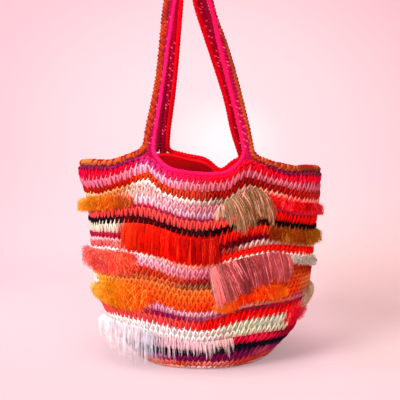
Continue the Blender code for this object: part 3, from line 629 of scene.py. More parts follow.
def stitchPosts(rng, bottom, tall, bearings, turn, spike, change):
    # the long leg of each stitch, from under the round below to a fine tip over the one above
    along = np.linspace(0.0, 1.0, stitch["postSteps"])
    wobble = rng.normal(0.0, 1.0, (len(bearings), 5))
    reach = 1.0 + spike * (1.0 + 0.20 * wobble[:, :1])
    height = bottom + tall * (-0.10 + along[None] * (reach + 0.10)) + 0.0003 * wobble[:, 4:5]
    lean = stitch["lean"] * (1.0 + 0.35 * wobble[:, 1:2])
    bend = shape("postBend", along)
    sway = bearings[:, None] + turn[:, None] * (bend[None] * (0.7 + lean) + 0.06 * wobble[:, 2:3])
    outward = stitch["out"] + shape("postBow", along)[None] + 0.0003 * wobble[:, 3:4]
    radii = stitch["radius"] * shape("postGirth", along)[None] * (1.0 + 0.08 * wobble[:, :1])
    return stitchStrands(rng, bearings, change, sway, height, outward, radii, stitch["postSides"],
                         shape("postPaintedShade", along))


def stitchCurls(rng, bottom, tall, bearings, turn, change):
    # the short leg that curls over to the post and leaves a small hole beside it
    along = np.linspace(0.0, 1.0, stitch["curlSteps"])
    wobble = rng.normal(0.0, 1.0, (len(bearings), 4))
    height = bottom + tall * (shape("curlRise", along)[None] + 0.06 * wobble[:, :1])
    sway = bearings[:, None] + turn[:, None] * (shape("curlBend", along)[None] + 0.06 * wobble[:, 1:2])
    outward = stitch["out"] + shape("curlBow", along)[None] + 0.0003 * wobble[:, 2:3]
    radii = stitch["radius"] * shape("curlGirth", along)[None] * (1.0 + 0.10 * wobble[:, 3:4])
    return stitchStrands(rng, bearings, change, sway, height, outward, radii, stitch["curlSides"],
                         np.full(len(along), stitch["curlPaintedShade"]))


def backing(bottom, top, change):
    # the cloth behind the stitches, darkened to stand for the shade in the holes between them: painted shade
    ground = np.linspace(-180.0, 180.0, stitch["backingColumns"] + 1)
    lap = stitch["backingLap"]
    levels = np.array((bottom - lap, (top + bottom) / 2, top + lap)).clip(0.0005)
    quads = gridQuads(stitch["backingColumns"], 2)
    total = len(ground) * 3
    verts = wallPoint(ground[:, None], levels[None], stitch["backingOut"]).reshape(-1, 3)
    return verts, quads, np.zeros((quads.size, 2)), {
        "around": np.repeat(dyeAt(ground, change), 3), "tint": np.full(total, 0.5), "paintedShade": np.full(total, 0.85)}


def stitchRound(number):
    name, top, stops = rounds[number]
    bottom = rounds[number + 1][1] if number + 1 < len(rounds) else 0.001
    rng = np.random.default_rng(stitch["seed"] + number)
    bearings, turn = evenBearings((top + bottom) / 2, bag["stitchPitch"])
    spike = stitch["rimSpike"] if number == 0 else stitch["spike"]
    change = stitch["changeReach"] * math.sin(number * 2.4)
    item = makeObject("round_" + name, *joined([
        stitchPosts(rng, bottom, top - bottom, bearings, turn, spike, change),
        stitchCurls(rng, bottom, top - bottom, bearings, turn, change), backing(bottom, top, change)]))
    place(item, yarnMaterial(name, stops), "crochet", *(["crochet_body"] if number == 0 else []))


for number in range(len(rounds)):
    stitchRound(number)
print("crochet rounds done")


# inside of the wall, the bag's floor and the lining
lining = {
    "gap": 0.0022, "below": 0.0015, "columns": 160, "rows": 30, "fold": 0.0016, "floorHeight": 0.013,
    "hemRows": 8, "hemRise": 0.0022, "hemDrop": 0.004,
    "shade": (186, 0, 8), "hemShade": (204, 0, 12), "floorShade": (200, 2, 8), "weave": 1400.0,
    # painted shade inside the bag: the lining darkens towards the bottom
    "paintedShadeBelow": (0.236, 0.304, 0.22),  # the cloth darkens between these heights, down to this share
    "baseColumns": 96, "baseRings": 8, "baseHeight": 0.0004, "baseShade": (206, 60, 40),
}


def liningObject(name, rows, heights, outward):
    bearings = np.linspace(-180.0, 180.0, lining["columns"] + 1)[:, None]
    quads = gridQuads(lining["columns"], rows)[:, ::-1]
    flat = np.stack((bearings / 360.0 + 0.0 * heights, heights * 10.0 + 0.0 * bearings), -1).reshape(-1, 2)
    return makeObject(name, wallPoint(bearings, heights, outward).reshape(-1, 3), quads, flat[quads].reshape(-1, 2))


def clothMaterial(name, shade, roughness, dark=None):
    # plain woven cotton, with painted shade that makes it darker from the second of the dark levels down to the first
    material, tree, shader = newMaterial(name, roughness, 0.06)
    colour = rampNode(tree, noise(tree, 18.0, 3.0),
                      ((0.3, linear([value * 0.82 for value in shade])), (0.7, linear(shade))), "LINEAR")
    if dark:
        height = addNode(tree, "SeparateXYZ", {0: objectPlace(tree)}).outputs["Z"]
        colour = scaled(tree, colour, shareBetween(tree, height, *dark))
    bump = addNode(tree, "Bump", {"Strength": 0.25, "Distance": 0.0005, "Height": noise(tree, lining["weave"], 1.0)})
    feed(tree, shader, {"Base Color": colour, "Normal": bump.outputs[0]})
    return material


def makeLining():
    bearings = np.linspace(-180.0, 180.0, lining["columns"] + 1)[:, None]
    inset = bag["wallThick"] + lining["gap"]
    heights = np.linspace(lining["floorHeight"], bag["rimHeight"] - lining["below"], lining["rows"] + 1)[None]
    fold = lining["fold"] * np.sin(np.radians(bearings * 9.0)) * bell(heights - 0.20, 0.05)
    slant = lining["fold"] * 0.8 * np.sin(np.radians(bearings * 5.0) + heights * 40.0)
    fold = fold + slant * ease(heights, 0.05, 0.2)
    item = liningObject("lining_cloth", lining["rows"], heights, -inset - np.abs(fold))
    place(item, clothMaterial("lining_red", lining["shade"], 0.6, lining["paintedShadeBelow"]), "lining", "lining")
    # the hem that rolls over the wall's top edge
    across = np.linspace(0.0, 1.0, lining["hemRows"] + 1)[None]
    low = bag["rimHeight"] - lining["below"] - lining["hemDrop"] * ease(across, 0.80, 1.0)
    heights = low + (lining["hemRise"] + lining["below"]) * np.sin(across * math.pi * 0.8)
    hem = liningObject("lining_hem", lining["hemRows"], heights, 0.0004 - inset * across)
    place(hem, clothMaterial("hem_red", lining["hemShade"], 0.6), "lining")


def makeDisc(name, height, outward, material, slot):
    rings = lining["baseRings"]
    edge = wallPoint(np.linspace(-180.0, 180.0, lining["baseColumns"] + 1), height, outward)
    shares = np.linspace(0.0, 1.0, rings + 1)
    grid = edge[:, None, :] * np.array((1.0, 1.0, 0.0)) * shares[None, :, None]
    grid[:, :, 2] = height
    quads = gridQuads(lining["baseColumns"], rings)
    item = makeObject(name, grid.reshape(-1, 3), quads, np.zeros((quads.size, 2)))
    place(item, material, slot)


makeLining()
makeDisc("base_round", lining["baseHeight"], 0.0, yarnMaterial("base", ((0, *lining["baseShade"]),)), "crochet")
makeDisc("lining_floor", lining["floorHeight"], -(bag["wallThick"] + lining["gap"]),
         clothMaterial("lining_floor_red", lining["floorShade"], 0.55), "lining")
print("lining done")


# straps and edgings: stitches wrapped round the routes that the frame's tubes take
strap = {
    "coreRadius": 0.0022, "edgingRadius": 0.0042, "rimRadius": 0.0048,
    "clearance": 0.0005, "step": 0.004, "footClear": 0.011, "outerClear": 7.0, "innerClear": 5.5,
    "twist": 80.0, "twistShare": 0.63, "twistSpread": 0.072,
    "narrow": 0.62, "narrowAt": (0.415, 0.050),   # the front's outer row is drawn in at this height
    "pitch": 0.0052, "yarn": 0.0016, "yarnGirth": 0.0036, "wrapSteps": 11, "wrapSides": 5,
    "wrapReach": 1.8,        # how far one wrap runs along the row, in pitches
    "wrapTurns": 0.98, "wrapEnds": ((-0.5, -0.35, 0.35, 0.5), (0.4, 1.0, 1.0, 0.4)), "wrapFlat": 0.9,
    "coreGirth": 1.6, "coreSides": 8, "webGirth": 0.8, "webSides": 10, "webFlat": 0.28,
    "dyeScale": 800.0,       # the dye's stops run from left to right, 80 to each 100 mm
    "backDye": 172.0,        # the stop that the outer row has on the back strap
    "frontTop": (-0.012, -0.020, 0.574), "backTop": (-0.0175, 0.020, 0.548),
    "crownEnds": ((-0.017, 0.0, -0.016), (0.015, 0.0, -0.018)),
    "rimFade": (0.012, 0.050), "backGirth": 0.95, "leftGirth": 1.12, "rightThinner": 0.34, "thinSpan": (-0.02, 0.02),
    "frontKnees": (((-0.0696, 0.332), (-0.0572, 0.411), (-0.0408, 0.522)),
                   ((0.0130, 0.520), (0.0458, 0.397), (0.0612, 0.332))),
    "backKnees": (((-0.0553, 0.330), (-0.0455, 0.404), (-0.0357, 0.512)),
                  ((0.0010, 0.510), (0.0400, 0.391), (0.0545, 0.330))),
    "outerDye": ((-136, 214, 116, 56), (-80, 200, 84, 36), (-48, 184, 54, 22), (-16, 206, 76, 30), (32, 150, 56, 26),
                 (50, 180, 66, 28), (72, 190, 80, 32), (136, 168, 72, 34), (160, 168, 72, 34), (170, 166, 8, 50),
                 (179, 166, 8, 50)),
    "outerFlecks": ((140, 26, 30), 0.34),
}
edgings = {
    "front": {
        "radius": 0.0028, "plump": 1.22, "pull": 0.72, "relief": 0.38, "twist": strap["twist"],
        "slot": "edging_magenta", "flecks": ((206, 10, 70), 0.3),
        "dye": ((-56, 240, 30, 110), (-16, 246, 16, 84), (56, 242, 20, 76)),
        "coreShade": (176, 8, 66), "coreFlecks": ((236, 70, 90), 0.30), "seed": 12, "coreSeed": 14},
    "back": {
        "radius": 0.0036, "plump": 1.08, "pull": 1.0, "relief": 0.22, "twist": 0.0, "slot": "edging_red",
        "dye": ((-56, 230, 2, 20), (56, 236, 2, 26)), "flecks": ((250, 30, 60), 0.12),
        "coreShade": (176, 4, 40), "coreFlecks": ((240, 60, 100), 0.26), "seed": 13, "coreSeed": 15},
}


def smoothPath(points, step):
    points = [np.asarray(point, float) for point in points]
    count, result = len(points), []
    for index in range(count - 1):
        quad = [points[max(0, min(count - 1, index + offset))] for offset in (-1, 0, 1, 2)]
        parts = max(1, int(round(np.linalg.norm(quad[2] - quad[1]) / step)))
        for part in range(parts):
            t = part / parts
            result.append(0.5 * (2 * quad[1] + (quad[2] - quad[0]) * t
                                 + (2 * quad[0] - 5 * quad[1] + 4 * quad[2] - quad[3]) * t ** 2
                                 + (3 * quad[1] - quad[0] - 3 * quad[2] + quad[3]) * t ** 3))
    result.append(points[-1])
    return np.array(result)


def strapRoute(side):
    top = np.array(strap[side + "Top"])
    left, right = (wallPoint(foot if side == "front" else 180.0 - foot, bag["rimHeight"], -bag["wallThick"] / 2)
                   for foot in bag[side + "Feet"])

    def leg(knees, foot):
        return [np.array((x, foot[1] + (top[1] - foot[1]) * ease((z - foot[2]) / (top[2] - foot[2]), -0.25, 1.0), z))
                for x, z in knees]

    before, after = strap["crownEnds"]
    crown = [top + before, top, top + after]
    knees = strap[side + "Knees"]
    return smoothPath([left, *leg(knees[0], left), *crown, *leg(knees[1], right), right], strap["step"])


def beside(route, offset, twist):
    along = np.gradient(route, axis=0)
    across = np.stack((-along[:, 2], np.zeros(len(along)), along[:, 0]), -1)
    across /= np.linalg.norm(across, axis=1, keepdims=True)
    turn = np.radians(twist * bell(np.linspace(0.0, 1.0, len(route)) - strap["twistShare"], strap["twistSpread"]))
    across = across * np.cos(turn)[:, None] + np.sin(turn)[:, None] * np.array((0.0, 1.0, 0.0))
    return route + across * offset


def rimStretch(start, end, radius):
    bearings = np.linspace(start, end, max(6, int(abs(end - start) / 1.5)))
    points = wallPoint(bearings, bag["rimHeight"], -bag["wallThick"] / 2)
    points[:, 2] += radius + strap["clearance"]
    return points


def strapStretch(route, offset, twist=0.0, narrow=0.0):
    # narrow draws the left leg's row in, halfway up
    middle, spread = strap["narrowAt"]
    offset = offset * (1.0 - narrow * bell(route[:, 2:] - middle, spread) * (route[:, :1] < 0.0))
    low = np.where(np.arange(len(route)) < len(route) // 2, route[0, 2], route[-1, 2]) + strap["footClear"]
    return beside(route, offset, twist)[route[:, 2] > low]


def closedLoop(stretches):
    loop = []
    for number, stretch in enumerate(stretches):
        following = stretches[(number + 1) % len(stretches)]
        loop.append(stretch)
        start, end = stretch[-1], following[0]
        reach = np.linalg.norm(end - start)
        pull = stretch[-1] - stretch[-2]
        push = following[1] - following[0]
        t = np.linspace(0.0, 1.0, max(3, int(reach / strap["step"]) + 2))[1:-1, None]
        loop.append(curve(start, pull / np.linalg.norm(pull) * reach, end, push / np.linalg.norm(push) * reach, t))
    return np.concatenate(loop)


def evenRoute(route, pitch, closed):
    # the route again with points one pitch apart
    if closed:
        route = np.concatenate((route, route[:1]))
    length = np.concatenate(([0.0], np.cumsum(np.linalg.norm(np.diff(route, axis=0), axis=1))))
    marks = np.linspace(0.0, length[-1], max(2, int(round(length[-1] / pitch))) + 1)
    return spreadAlong(marks, length, route), marks


def spreadAlong(marks, length, array):
    return np.stack([np.interp(marks, length, array[:, axis]) for axis in range(3)], -1)


def wrappedRow(name, route, radius, stops, flecks, slot, node, closed=True, seed=1, relief=1.0):
    # a row of crochet worked round an edge: slanting wraps, one a stitch, over a plain core darkened as painted shade
    rng = np.random.default_rng(seed)
    steps, sides = strap["wrapSteps"], strap["wrapSides"]
    marks = evenRoute(route, strap["pitch"], closed)[1]
    count, total = len(marks) - 1, marks[-1]
    along = np.linspace(-0.5, 0.5, steps)
    fine, fineMarks = evenRoute(route, strap["pitch"] / 4, closed)
    tangent = np.gradient(fine, axis=0)
    tangent /= np.linalg.norm(tangent, axis=1, keepdims=True)
    side = np.stack((-tangent[:, 2], np.zeros(len(tangent)), tangent[:, 0]), -1)
    side = side / np.maximum(np.linalg.norm(side, axis=1, keepdims=True), 1e-6)
    face = np.cross(tangent, side)
    centre = (np.arange(count) + 0.5) / count * total
    size = radius(fine) if callable(radius) else np.full(len(fine), radius)
    where = centre[:, None] + strap["pitch"] * strap["wrapReach"] * along[None]
    where = where % total if closed else where.clip(0.0, total)
    middle, sideways, outwards = (spreadAlong(where, fineMarks, array) for array in (fine, side, face))
    girth = np.interp(where, fineMarks, size)
    spin = 2.0 * math.pi * along[None] * strap["wrapTurns"] + math.pi + rng.normal(0.0, 0.05, (count, 1))
    ring = sideways * np.sin(spin)[..., None] + outwards * np.cos(spin)[..., None]
    bulge = 1.0 + 0.06 * relief * rng.normal(0.0, 1.0, (count, 1))
    paths = middle + ring * (girth * (0.92 - 0.14 * relief) * bulge)[..., None]
    radii = strap["yarn"] * (0.45 + 0.55 * relief) * np.interp(along, *strap["wrapEnds"])[None]
    radii = radii * (girth / strap["yarnGirth"])
    dye = fine[:, 0] * strap["dyeScale"]
    if name == "outer_round":
        dye = np.where((fine[:, 1] > 0.0) & (fine[:, 2] > bag["rimHeight"] + 0.014), strap["backDye"], dye)
    wraps = (*sweepStrands(paths, radii, ring, sides, strap["wrapFlat"]), {
        "around": perVertex(np.interp(where[:, steps // 2], fineMarks, dye), steps, sides),
        "tint": perVertex(rng.random(count), steps, sides), "paintedShade": perVertex(np.zeros(count), steps, sides)})
    tube = sweepStrands(fine[None], size[None] * (0.95 - 0.15 * relief), face[None], strap["coreSides"])
    # the core, seen between the wraps, is darkened as painted shade
    core = (*tube, {"around": perVertex(dye[None], len(fine), strap["coreSides"]), "tint": np.full(len(tube[0]), 0.5),
                    "paintedShade": np.full(len(tube[0]), 0.15 + 0.45 * relief)})
    place(makeObject(name, *joined([wraps, core])), yarnMaterial(name, stops, 2.5, flecks), slot, node)


def makeWeb(name, route, reach, shade, twist):
    # the flat of a strap behind its three rows, darkened as painted shade
    face = np.cross(np.gradient(route, axis=0), beside(route, 1.0, twist) - route)
    face /= np.linalg.norm(face, axis=1, keepdims=True)
    tube = sweepStrands(route[None], np.full((1, len(route)), reach), face[None], strap["webSides"],
                        strap["webFlat"])
    total = len(tube[0])
    item = makeObject(name, *tube, {
        "around": np.zeros(total), "tint": np.full(total, 0.5), "paintedShade": np.full(total, 0.4)})
    place(item, yarnMaterial(name, ((0, *shade),)), "strap_purple")


def outerRadius(points):
    # the outer row is thicker on the rim, and thinner on the front strap's right leg
    share = ease(points[:, 2], *(bag["rimHeight"] + rise for rise in strap["rimFade"]))
    front = strap["leftGirth"] - strap["rightThinner"] * ease(points[:, 0], *strap["thinSpan"])
    leg = strap["edgingRadius"] * np.where(points[:, 1] > 0.0, strap["backGirth"], front)
    return strap["rimRadius"] + (leg - strap["rimRadius"]) * share


def makeStraps():
    routes = {side: strapRoute(side) for side in edgings}
    feet = {"front": bag["frontFeet"], "back": [180.0 - bearing for bearing in bag["backFeet"]]}
    outward = strap["coreRadius"] + strap["edgingRadius"] + strap["clearance"]
    clear = strap["outerClear"]
    left = rimStretch(feet["front"][0] - clear, -180.0 - bag["backFeet"][0] + clear, strap["rimRadius"])
    right = rimStretch(feet["back"][1] - clear, feet["front"][1] + clear, strap["rimRadius"])
    loop = closedLoop([left, strapStretch(routes["back"], outward), right,
                       strapStretch(routes["front"], outward, strap["twist"], strap["narrow"])[::-1]])
    wrappedRow("outer_round", loop, outerRadius, strap["outerDye"], strap["outerFlecks"], "edging_orange",
               "outer_edging", seed=11)
    for side, edging in edgings.items():
        turn = strap["innerClear"] if side == "front" else -strap["innerClear"]
        inward = -(strap["coreRadius"] + edging["radius"] + strap["clearance"]) * edging["pull"]
        loop = closedLoop([strapStretch(routes[side], inward, edging["twist"]),
                           rimStretch(feet[side][1] - turn, feet[side][0] + turn, edging["radius"])])
        wrappedRow(side + "_inner_round", loop, edging["radius"] * edging["plump"], edging["dye"], edging["flecks"],
                   edging["slot"], side + "_inner_edging", seed=edging["seed"], relief=edging["relief"])
    girth = strap["coreRadius"] * strap["coreGirth"]
    for side, edging in edgings.items():
        wrappedRow(side + "_core", routes[side], girth, ((0, *edging["coreShade"]),),
                   edging["coreFlecks"], "strap_purple", side + "_handle", closed=False, seed=edging["coreSeed"])
        makeWeb(side + "_web", routes[side], outward * strap["webGirth"], edging["coreShade"], edging["twist"])


makeStraps()
print("straps done")


# fur bands and fringes: points are (bearing, top, bottom), in metres above the floor; shades are colour stops, mostly
# dye, with painted light and shade where noted
furs = {
    "fur_orange_left": {
        "slot": "fur_orange", "kind": "fur", "strands": 1700, "out": 0.0045, "ends": 1.8, "mess": 0.28,
        "points": ((-98, 0.236, 0.222), (-83, 0.238, 0.221), (-61, 0.247, 0.229), (-52, 0.251, 0.232),
            (-42, 0.255, 0.236), (-34, 0.256, 0.241)),
        "shades": ((-98, 255, 222, 140), (-84, 255, 204, 90), (-74, 255, 176, 36), (-56, 250, 136, 10),
            (-34, 232, 92, 20)),
        "flecks": ((255, 190, 70), 0.2)},
    "fringe_red_long": {
        "slot": "fur_red", "kind": "fringe", "strands": 2500, "out": 0.004, "lock": 0.9, "ragged": 0.0016,
        "stray": 0.3, "bend": 1,
        "comb": ((-42, -1.4), (-20, -0.6), (7, 0.3)),
        "points": ((-40, 0.216, 0.184), (-33, 0.218, 0.182), (-25, 0.217, 0.178), (-17, 0.211, 0.172),
            (-10, 0.203, 0.167), (0, 0.198, 0.162), (8, 0.199, 0.165)),
        "shades": ((-42, 255, 120, 60), (-38, 255, 70, 26), (-28, 255, 30, 6), (-12, 255, 14, 2),
            (-3, 232, 10, 4), (8, 214, 10, 8)),
        "flecks": ((255, 74, 30), 0.16)},
    "fringe_tan": {
        "slot": "fur_tan", "kind": "fringe", "strands": 2300, "out": 0.0045, "lock": 0.6, "ragged": 0.003,
        "stray": 0.45, "bend": 0.75, "root": 0.86, "spread": 1,
        "comb": ((7, -1.6), (10, 0.5), (13, 3.2), (22, 4.2), (34, 2)),
        "points": ((8, 0.243, 0.23), (11, 0.248, 0.224), (13, 0.252, 0.208), (17, 0.258, 0.208),
            (20, 0.263, 0.214), (23, 0.266, 0.222), (26, 0.268, 0.23), (29, 0.265, 0.226), (32, 0.258, 0.221),
            (34, 0.25, 0.222)),
        "shades": ((7, 236, 196, 170), (12, 206, 154, 116), (17, 176, 116, 74), (24, 164, 100, 60),
            (30, 190, 128, 86), (35, 206, 120, 90)),
        "flecks": ((246, 206, 170), 0.18)},
    "fur_red_right": {
        "slot": "fur_red", "kind": "fur", "strands": 1400, "out": 0.0038, "ends": 1.8, "mess": 0.55,
        "points": ((35, 0.249, 0.239), (46, 0.246, 0.233), (59, 0.24, 0.226), (86, 0.23, 0.214),
            (98, 0.23, 0.215)),
        "shades": ((35, 255, 16, 16), (62, 255, 10, 18), (78, 255, 50, 60), (98, 255, 120, 130)),
        "flecks": ((255, 90, 120), 0.12)},
    "fur_ochre_right": {
        "slot": "fur_ochre", "kind": "fur", "strands": 1600, "out": 0.0045, "ends": 1.6, "mess": 0.6,
        "points": ((35, 0.21, 0.193), (48, 0.205, 0.184), (62, 0.198, 0.178), (86, 0.194, 0.175),
            (98, 0.194, 0.175)),
        "shades": ((35, 176, 50, 12), (48, 200, 86, 14), (62, 206, 90, 14), (74, 220, 140, 16),
            (98, 236, 180, 40)),
        "flecks": ((230, 150, 40), 0.16)},
    "fringe_mauve": {
        "slot": "fur_mauve", "kind": "fringe", "strands": 2200, "out": 0.005, "lock": 0.8, "ragged": 0.003,
        "stray": 0.45, "bend": 1.15, "spread": 1,
        "comb": ((5, 3.4), (8, 5), (14, 6), (24, 3.4), (38, 2.4), (50, 1)),
        "points": ((4, 0.157, 0.108), (5.5, 0.158, 0.103), (8, 0.161, 0.108), (12, 0.164, 0.116),
            (19, 0.169, 0.124), (24, 0.172, 0.13), (30, 0.174, 0.134), (36, 0.175, 0.135), (42, 0.174, 0.134),
            (50, 0.168, 0.138)),
        "shades": ((4, 255, 184, 176), (8, 246, 134, 130), (12, 216, 90, 90), (18, 186, 70, 74),
            (28, 210, 80, 84), (42, 230, 98, 100), (50, 240, 124, 120)),
        "flecks": ((250, 164, 168), 0.18)},
    "fur_coral_left": {
        "slot": "fur_coral", "kind": "fur", "strands": 1900, "out": 0.005, "ends": 1.4, "mess": 0.8,
        "root": 1.04,
        "points": ((-98, 0.165, 0.148), (-86, 0.167, 0.144), (-67, 0.17, 0.139), (-51, 0.173, 0.138),
            (-41, 0.175, 0.143), (-35, 0.174, 0.152)),
        "shades": ((-98, 255, 180, 190), (-82, 255, 134, 144), (-70, 255, 116, 96), (-60, 255, 110, 106),
            (-48, 255, 94, 76), (-36, 255, 80, 52)),
        "flecks": ((255, 176, 130), 0.2)},
    "fur_grey_right": {
        "slot": "fur_grey", "kind": "fur", "strands": 900, "out": 0.0042, "ends": 0.9, "mess": 0.45, "root": 1,
        "points": ((47, 0.168, 0.158), (59, 0.163, 0.151), (86, 0.152, 0.14), (98, 0.152, 0.141)),
        "shades": ((47, 240, 222, 212), (70, 226, 216, 198), (98, 230, 218, 200)),
        "flecks": ((240, 232, 220), 0.25)},
    "fur_amber_left": {
        "slot": "fur_amber", "kind": "fur", "strands": 1900, "out": 0.0045, "ends": 0.5, "mess": 0.45,
        "root": 1.05,
        "points": ((-88, 0.11, 0.098), (-80, 0.114, 0.097), (-71, 0.116, 0.094), (-58, 0.125, 0.09),
            (-45, 0.127, 0.088), (-35, 0.126, 0.091), (-26, 0.122, 0.104)),
        "shades": ((-88, 255, 232, 170), (-80, 255, 226, 150), (-68, 255, 204, 62), (-52, 255, 168, 14),
            (-40, 255, 124, 10), (-26, 250, 84, 14)),
        "flecks": ((255, 206, 80), 0.2)},
    "fur_flame_right": {
        "slot": "fur_flame", "kind": "fur", "strands": 1600, "out": 0.0045, "ends": 0.3, "mess": 0.6,
        "root": 1.12,
        "points": ((7, 0.104, 0.095), (12, 0.107, 0.091), (16, 0.112, 0.092), (20, 0.121, 0.099),
            (25, 0.127, 0.105), (32, 0.131, 0.106), (40, 0.129, 0.106), (50, 0.12, 0.107)),
        "shades": ((7, 255, 150, 30), (14, 255, 116, 12), (22, 255, 60, 10), (34, 255, 58, 8),
            (42, 255, 104, 12), (50, 255, 140, 24)),
        "flecks": ((255, 160, 40), 0.2)},
    "fringe_white": {
        "slot": "fur_white", "kind": "fringe", "strands": 2300, "out": 0.0045, "ends": 1.3, "lock": 1.1,
        "ragged": 0.0046, "stray": 0.5, "bend": 1.1, "root": 1.08, "spread": 0.45,
        "comb": ((-87, 5), (-60, 2.5), (-40, 0), (18, 1)),
        "thin": ((-90, 0.6), (-70, 0.38), (-50, 0.34), (-28, 0.32), (-25, 0.14), (-18, 0.24), (-8, 0.36),
            (19, 0.4)),
        "points": ((-90, 0.062, 0.044), (-80, 0.066, 0.04), (-70, 0.067, 0.033), (-62, 0.068, 0.026),
            (-50, 0.067, 0.019), (-43, 0.065, 0.016), (-36, 0.063, 0.015), (-28, 0.062, 0.016),
            (-26, 0.06, 0.026), (-21, 0.056, 0.031), (-12, 0.051, 0.032), (-1, 0.048, 0.032), (10, 0.05, 0.034),
            (19, 0.053, 0.038)),
        "shades": ((-90, 255, 252, 252), (-50, 252, 244, 246), (-27, 240, 238, 244), (-20, 255, 226, 232),
            (19, 250, 226, 222)),
        # the grey-blue strands among the white are painted shade
        "flecks": ((214, 220, 228), 0.1)},
    "fur_crimson_right": {
        "slot": "fur_crimson", "kind": "fur", "strands": 1100, "out": 0.005, "ends": 1.7, "mess": 0.6,
        "root": 1.2,
        "points": ((58, 0.089, 0.066), (66, 0.086, 0.062), (86, 0.078, 0.062), (98, 0.078, 0.064)),
        "shades": ((54, 255, 8, 40), (68, 255, 16, 54), (80, 255, 80, 120), (98, 255, 170, 200)),
        "flecks": ((255, 70, 120), 0.15)},
    "pompom_beige": {
        "slot": "fur_beige", "kind": "mound", "strands": 1500, "out": 0.0135, "ends": 0, "mess": 0.2, "root": 1,
        "spread": 0.3,
        "points": ((72, 0.1145, 0.0715), (104, 0.1145, 0.0715)),
        # painted light and shade: the mound is darker at its left and lighter at its right
        "shades": ((72, 216, 172, 140), (84, 236, 198, 164), (102, 250, 222, 196)),
        "flecks": ((250, 226, 196), 0.3)},
}
hair = {
    "radius": 0.00030, "shortShare": 0.22, "upShare": 0.12, "fringeSteps": 6, "furSteps": 4, "sides": 3,
    # root is a strand's painted brightness at its root: below 1 painted shade, above 1 painted light
    "root": 0.92, "spread": 0.8, "furLock": 0.9, "locks": 800, "seed": 300,
    "fringeGap": 0.0034, "furGap": 0.0030,  # a strand's root stands this far out of the wall
    "lowest": 0.0016, "rootSpread": 0.14, "tipSpread": 0.0020, "taper": ((0.0, 0.5, 1.0), (1.0, 0.9, 0.25)),
    "fringeFlare": (56.0, 82.0), "furFlare": (60.0, 84.0), "sideFade": (86.0, 99.0),
}


def perMetre(bearing, height):
    # degrees of bearing to a metre along the wall
    halfWidth, halfDepth = halfSizes(height)
    angle = np.radians(bearing)
    return 57.296 / np.hypot(halfWidth * np.cos(angle), halfDepth * np.sin(angle))


def heightAt(bearing, level):
    # the height on the flat wall that the waves lift to a level above the floor
    bearing, level = np.broadcast_arrays(bearing, level)
    height = np.array(level)
    for _ in range(6):
        height = (level - wave(bearing, height)).clip(0.0005, bag["rimHeight"])
    return height


def hangPoint(bearing, height, level, outward):
    halfWidth, halfDepth = halfSizes(height)
    angle = np.radians(bearing)
    return np.stack(np.broadcast_arrays(
        (halfWidth + outward) * np.sin(angle), -(halfDepth + outward) * np.cos(angle),
        np.maximum(level, hair["lowest"])), axis=-1)


def lockChance(seed, bearing, width):
    # values that the strands of one lock share, and the way to its middle
    lock = np.floor(bearing / width).astype(int)
    chance = np.random.default_rng(seed + 50).normal(0.0, 1.0, (hair["locks"], 4))
    return chance[(lock + hair["locks"] // 2) % hair["locks"]], (lock + 0.5) * width - bearing


def fringePaths(fur, rng, seed, bearing, top, bottom, along):
    # long strands in locks that hang straight down from their roots
    count = len(bearing)
    chance, pull = lockChance(seed, bearing, fur["lock"])
    root = top - rng.random(count) ** 2 * hair["rootSpread"] * (top - bottom)
    tip = bottom + rng.normal(0.0, hair["tipSpread"], count) + chance[:, 0] * fur["ragged"]
    early = rng.random(count) < hair["shortShare"]
    tip = np.where(early, root + (tip - root) * rng.uniform(0.35, 0.9, count), tip)
    level = root[:, None] + (tip - root)[:, None] * along
    stray = rng.normal(0.0, 0.35, count) + (rng.random(count) < 0.12) * rng.normal(0.0, 1.1, count)
    comb = np.interp(bearing, *np.array(fur["comb"], float).T) + chance[:, 1] * fur["stray"]
    sway = (bearing[:, None] + comb[:, None] * along ** fur["bend"] + 0.75 * pull[:, None] * along ** 1.3
            + stray[:, None] * along + 0.20 * chance[:, 3:4] * np.sin(along * 3.0))
    raised = fur["out"] * (0.15 + 0.85 * rng.random(count)[:, None] + 0.15 * chance[:, 2:3].clip(-1, 1))
    outward = hair["fringeGap"] + raised * np.sin(np.clip(along * 1.3, 0.0, 1.0) * math.pi * 0.5)
    flare = fur["out"] * fur.get("ends", 0.0) * ease(np.abs(bearing), *hair["fringeFlare"])[:, None]
    outward = outward + flare * (0.3 + 0.7 * rng.random(count)[:, None]) * np.sin(along ** 0.7 * math.pi * 0.86)
    tint = (0.5 + 0.10 * chance[:, 2] + 0.22 * rng.normal(0.0, 1.0, count)).clip(0.0, 1.0)
    return hangPoint(sway, heightAt(bearing, root)[:, None], level, outward), sway, tint


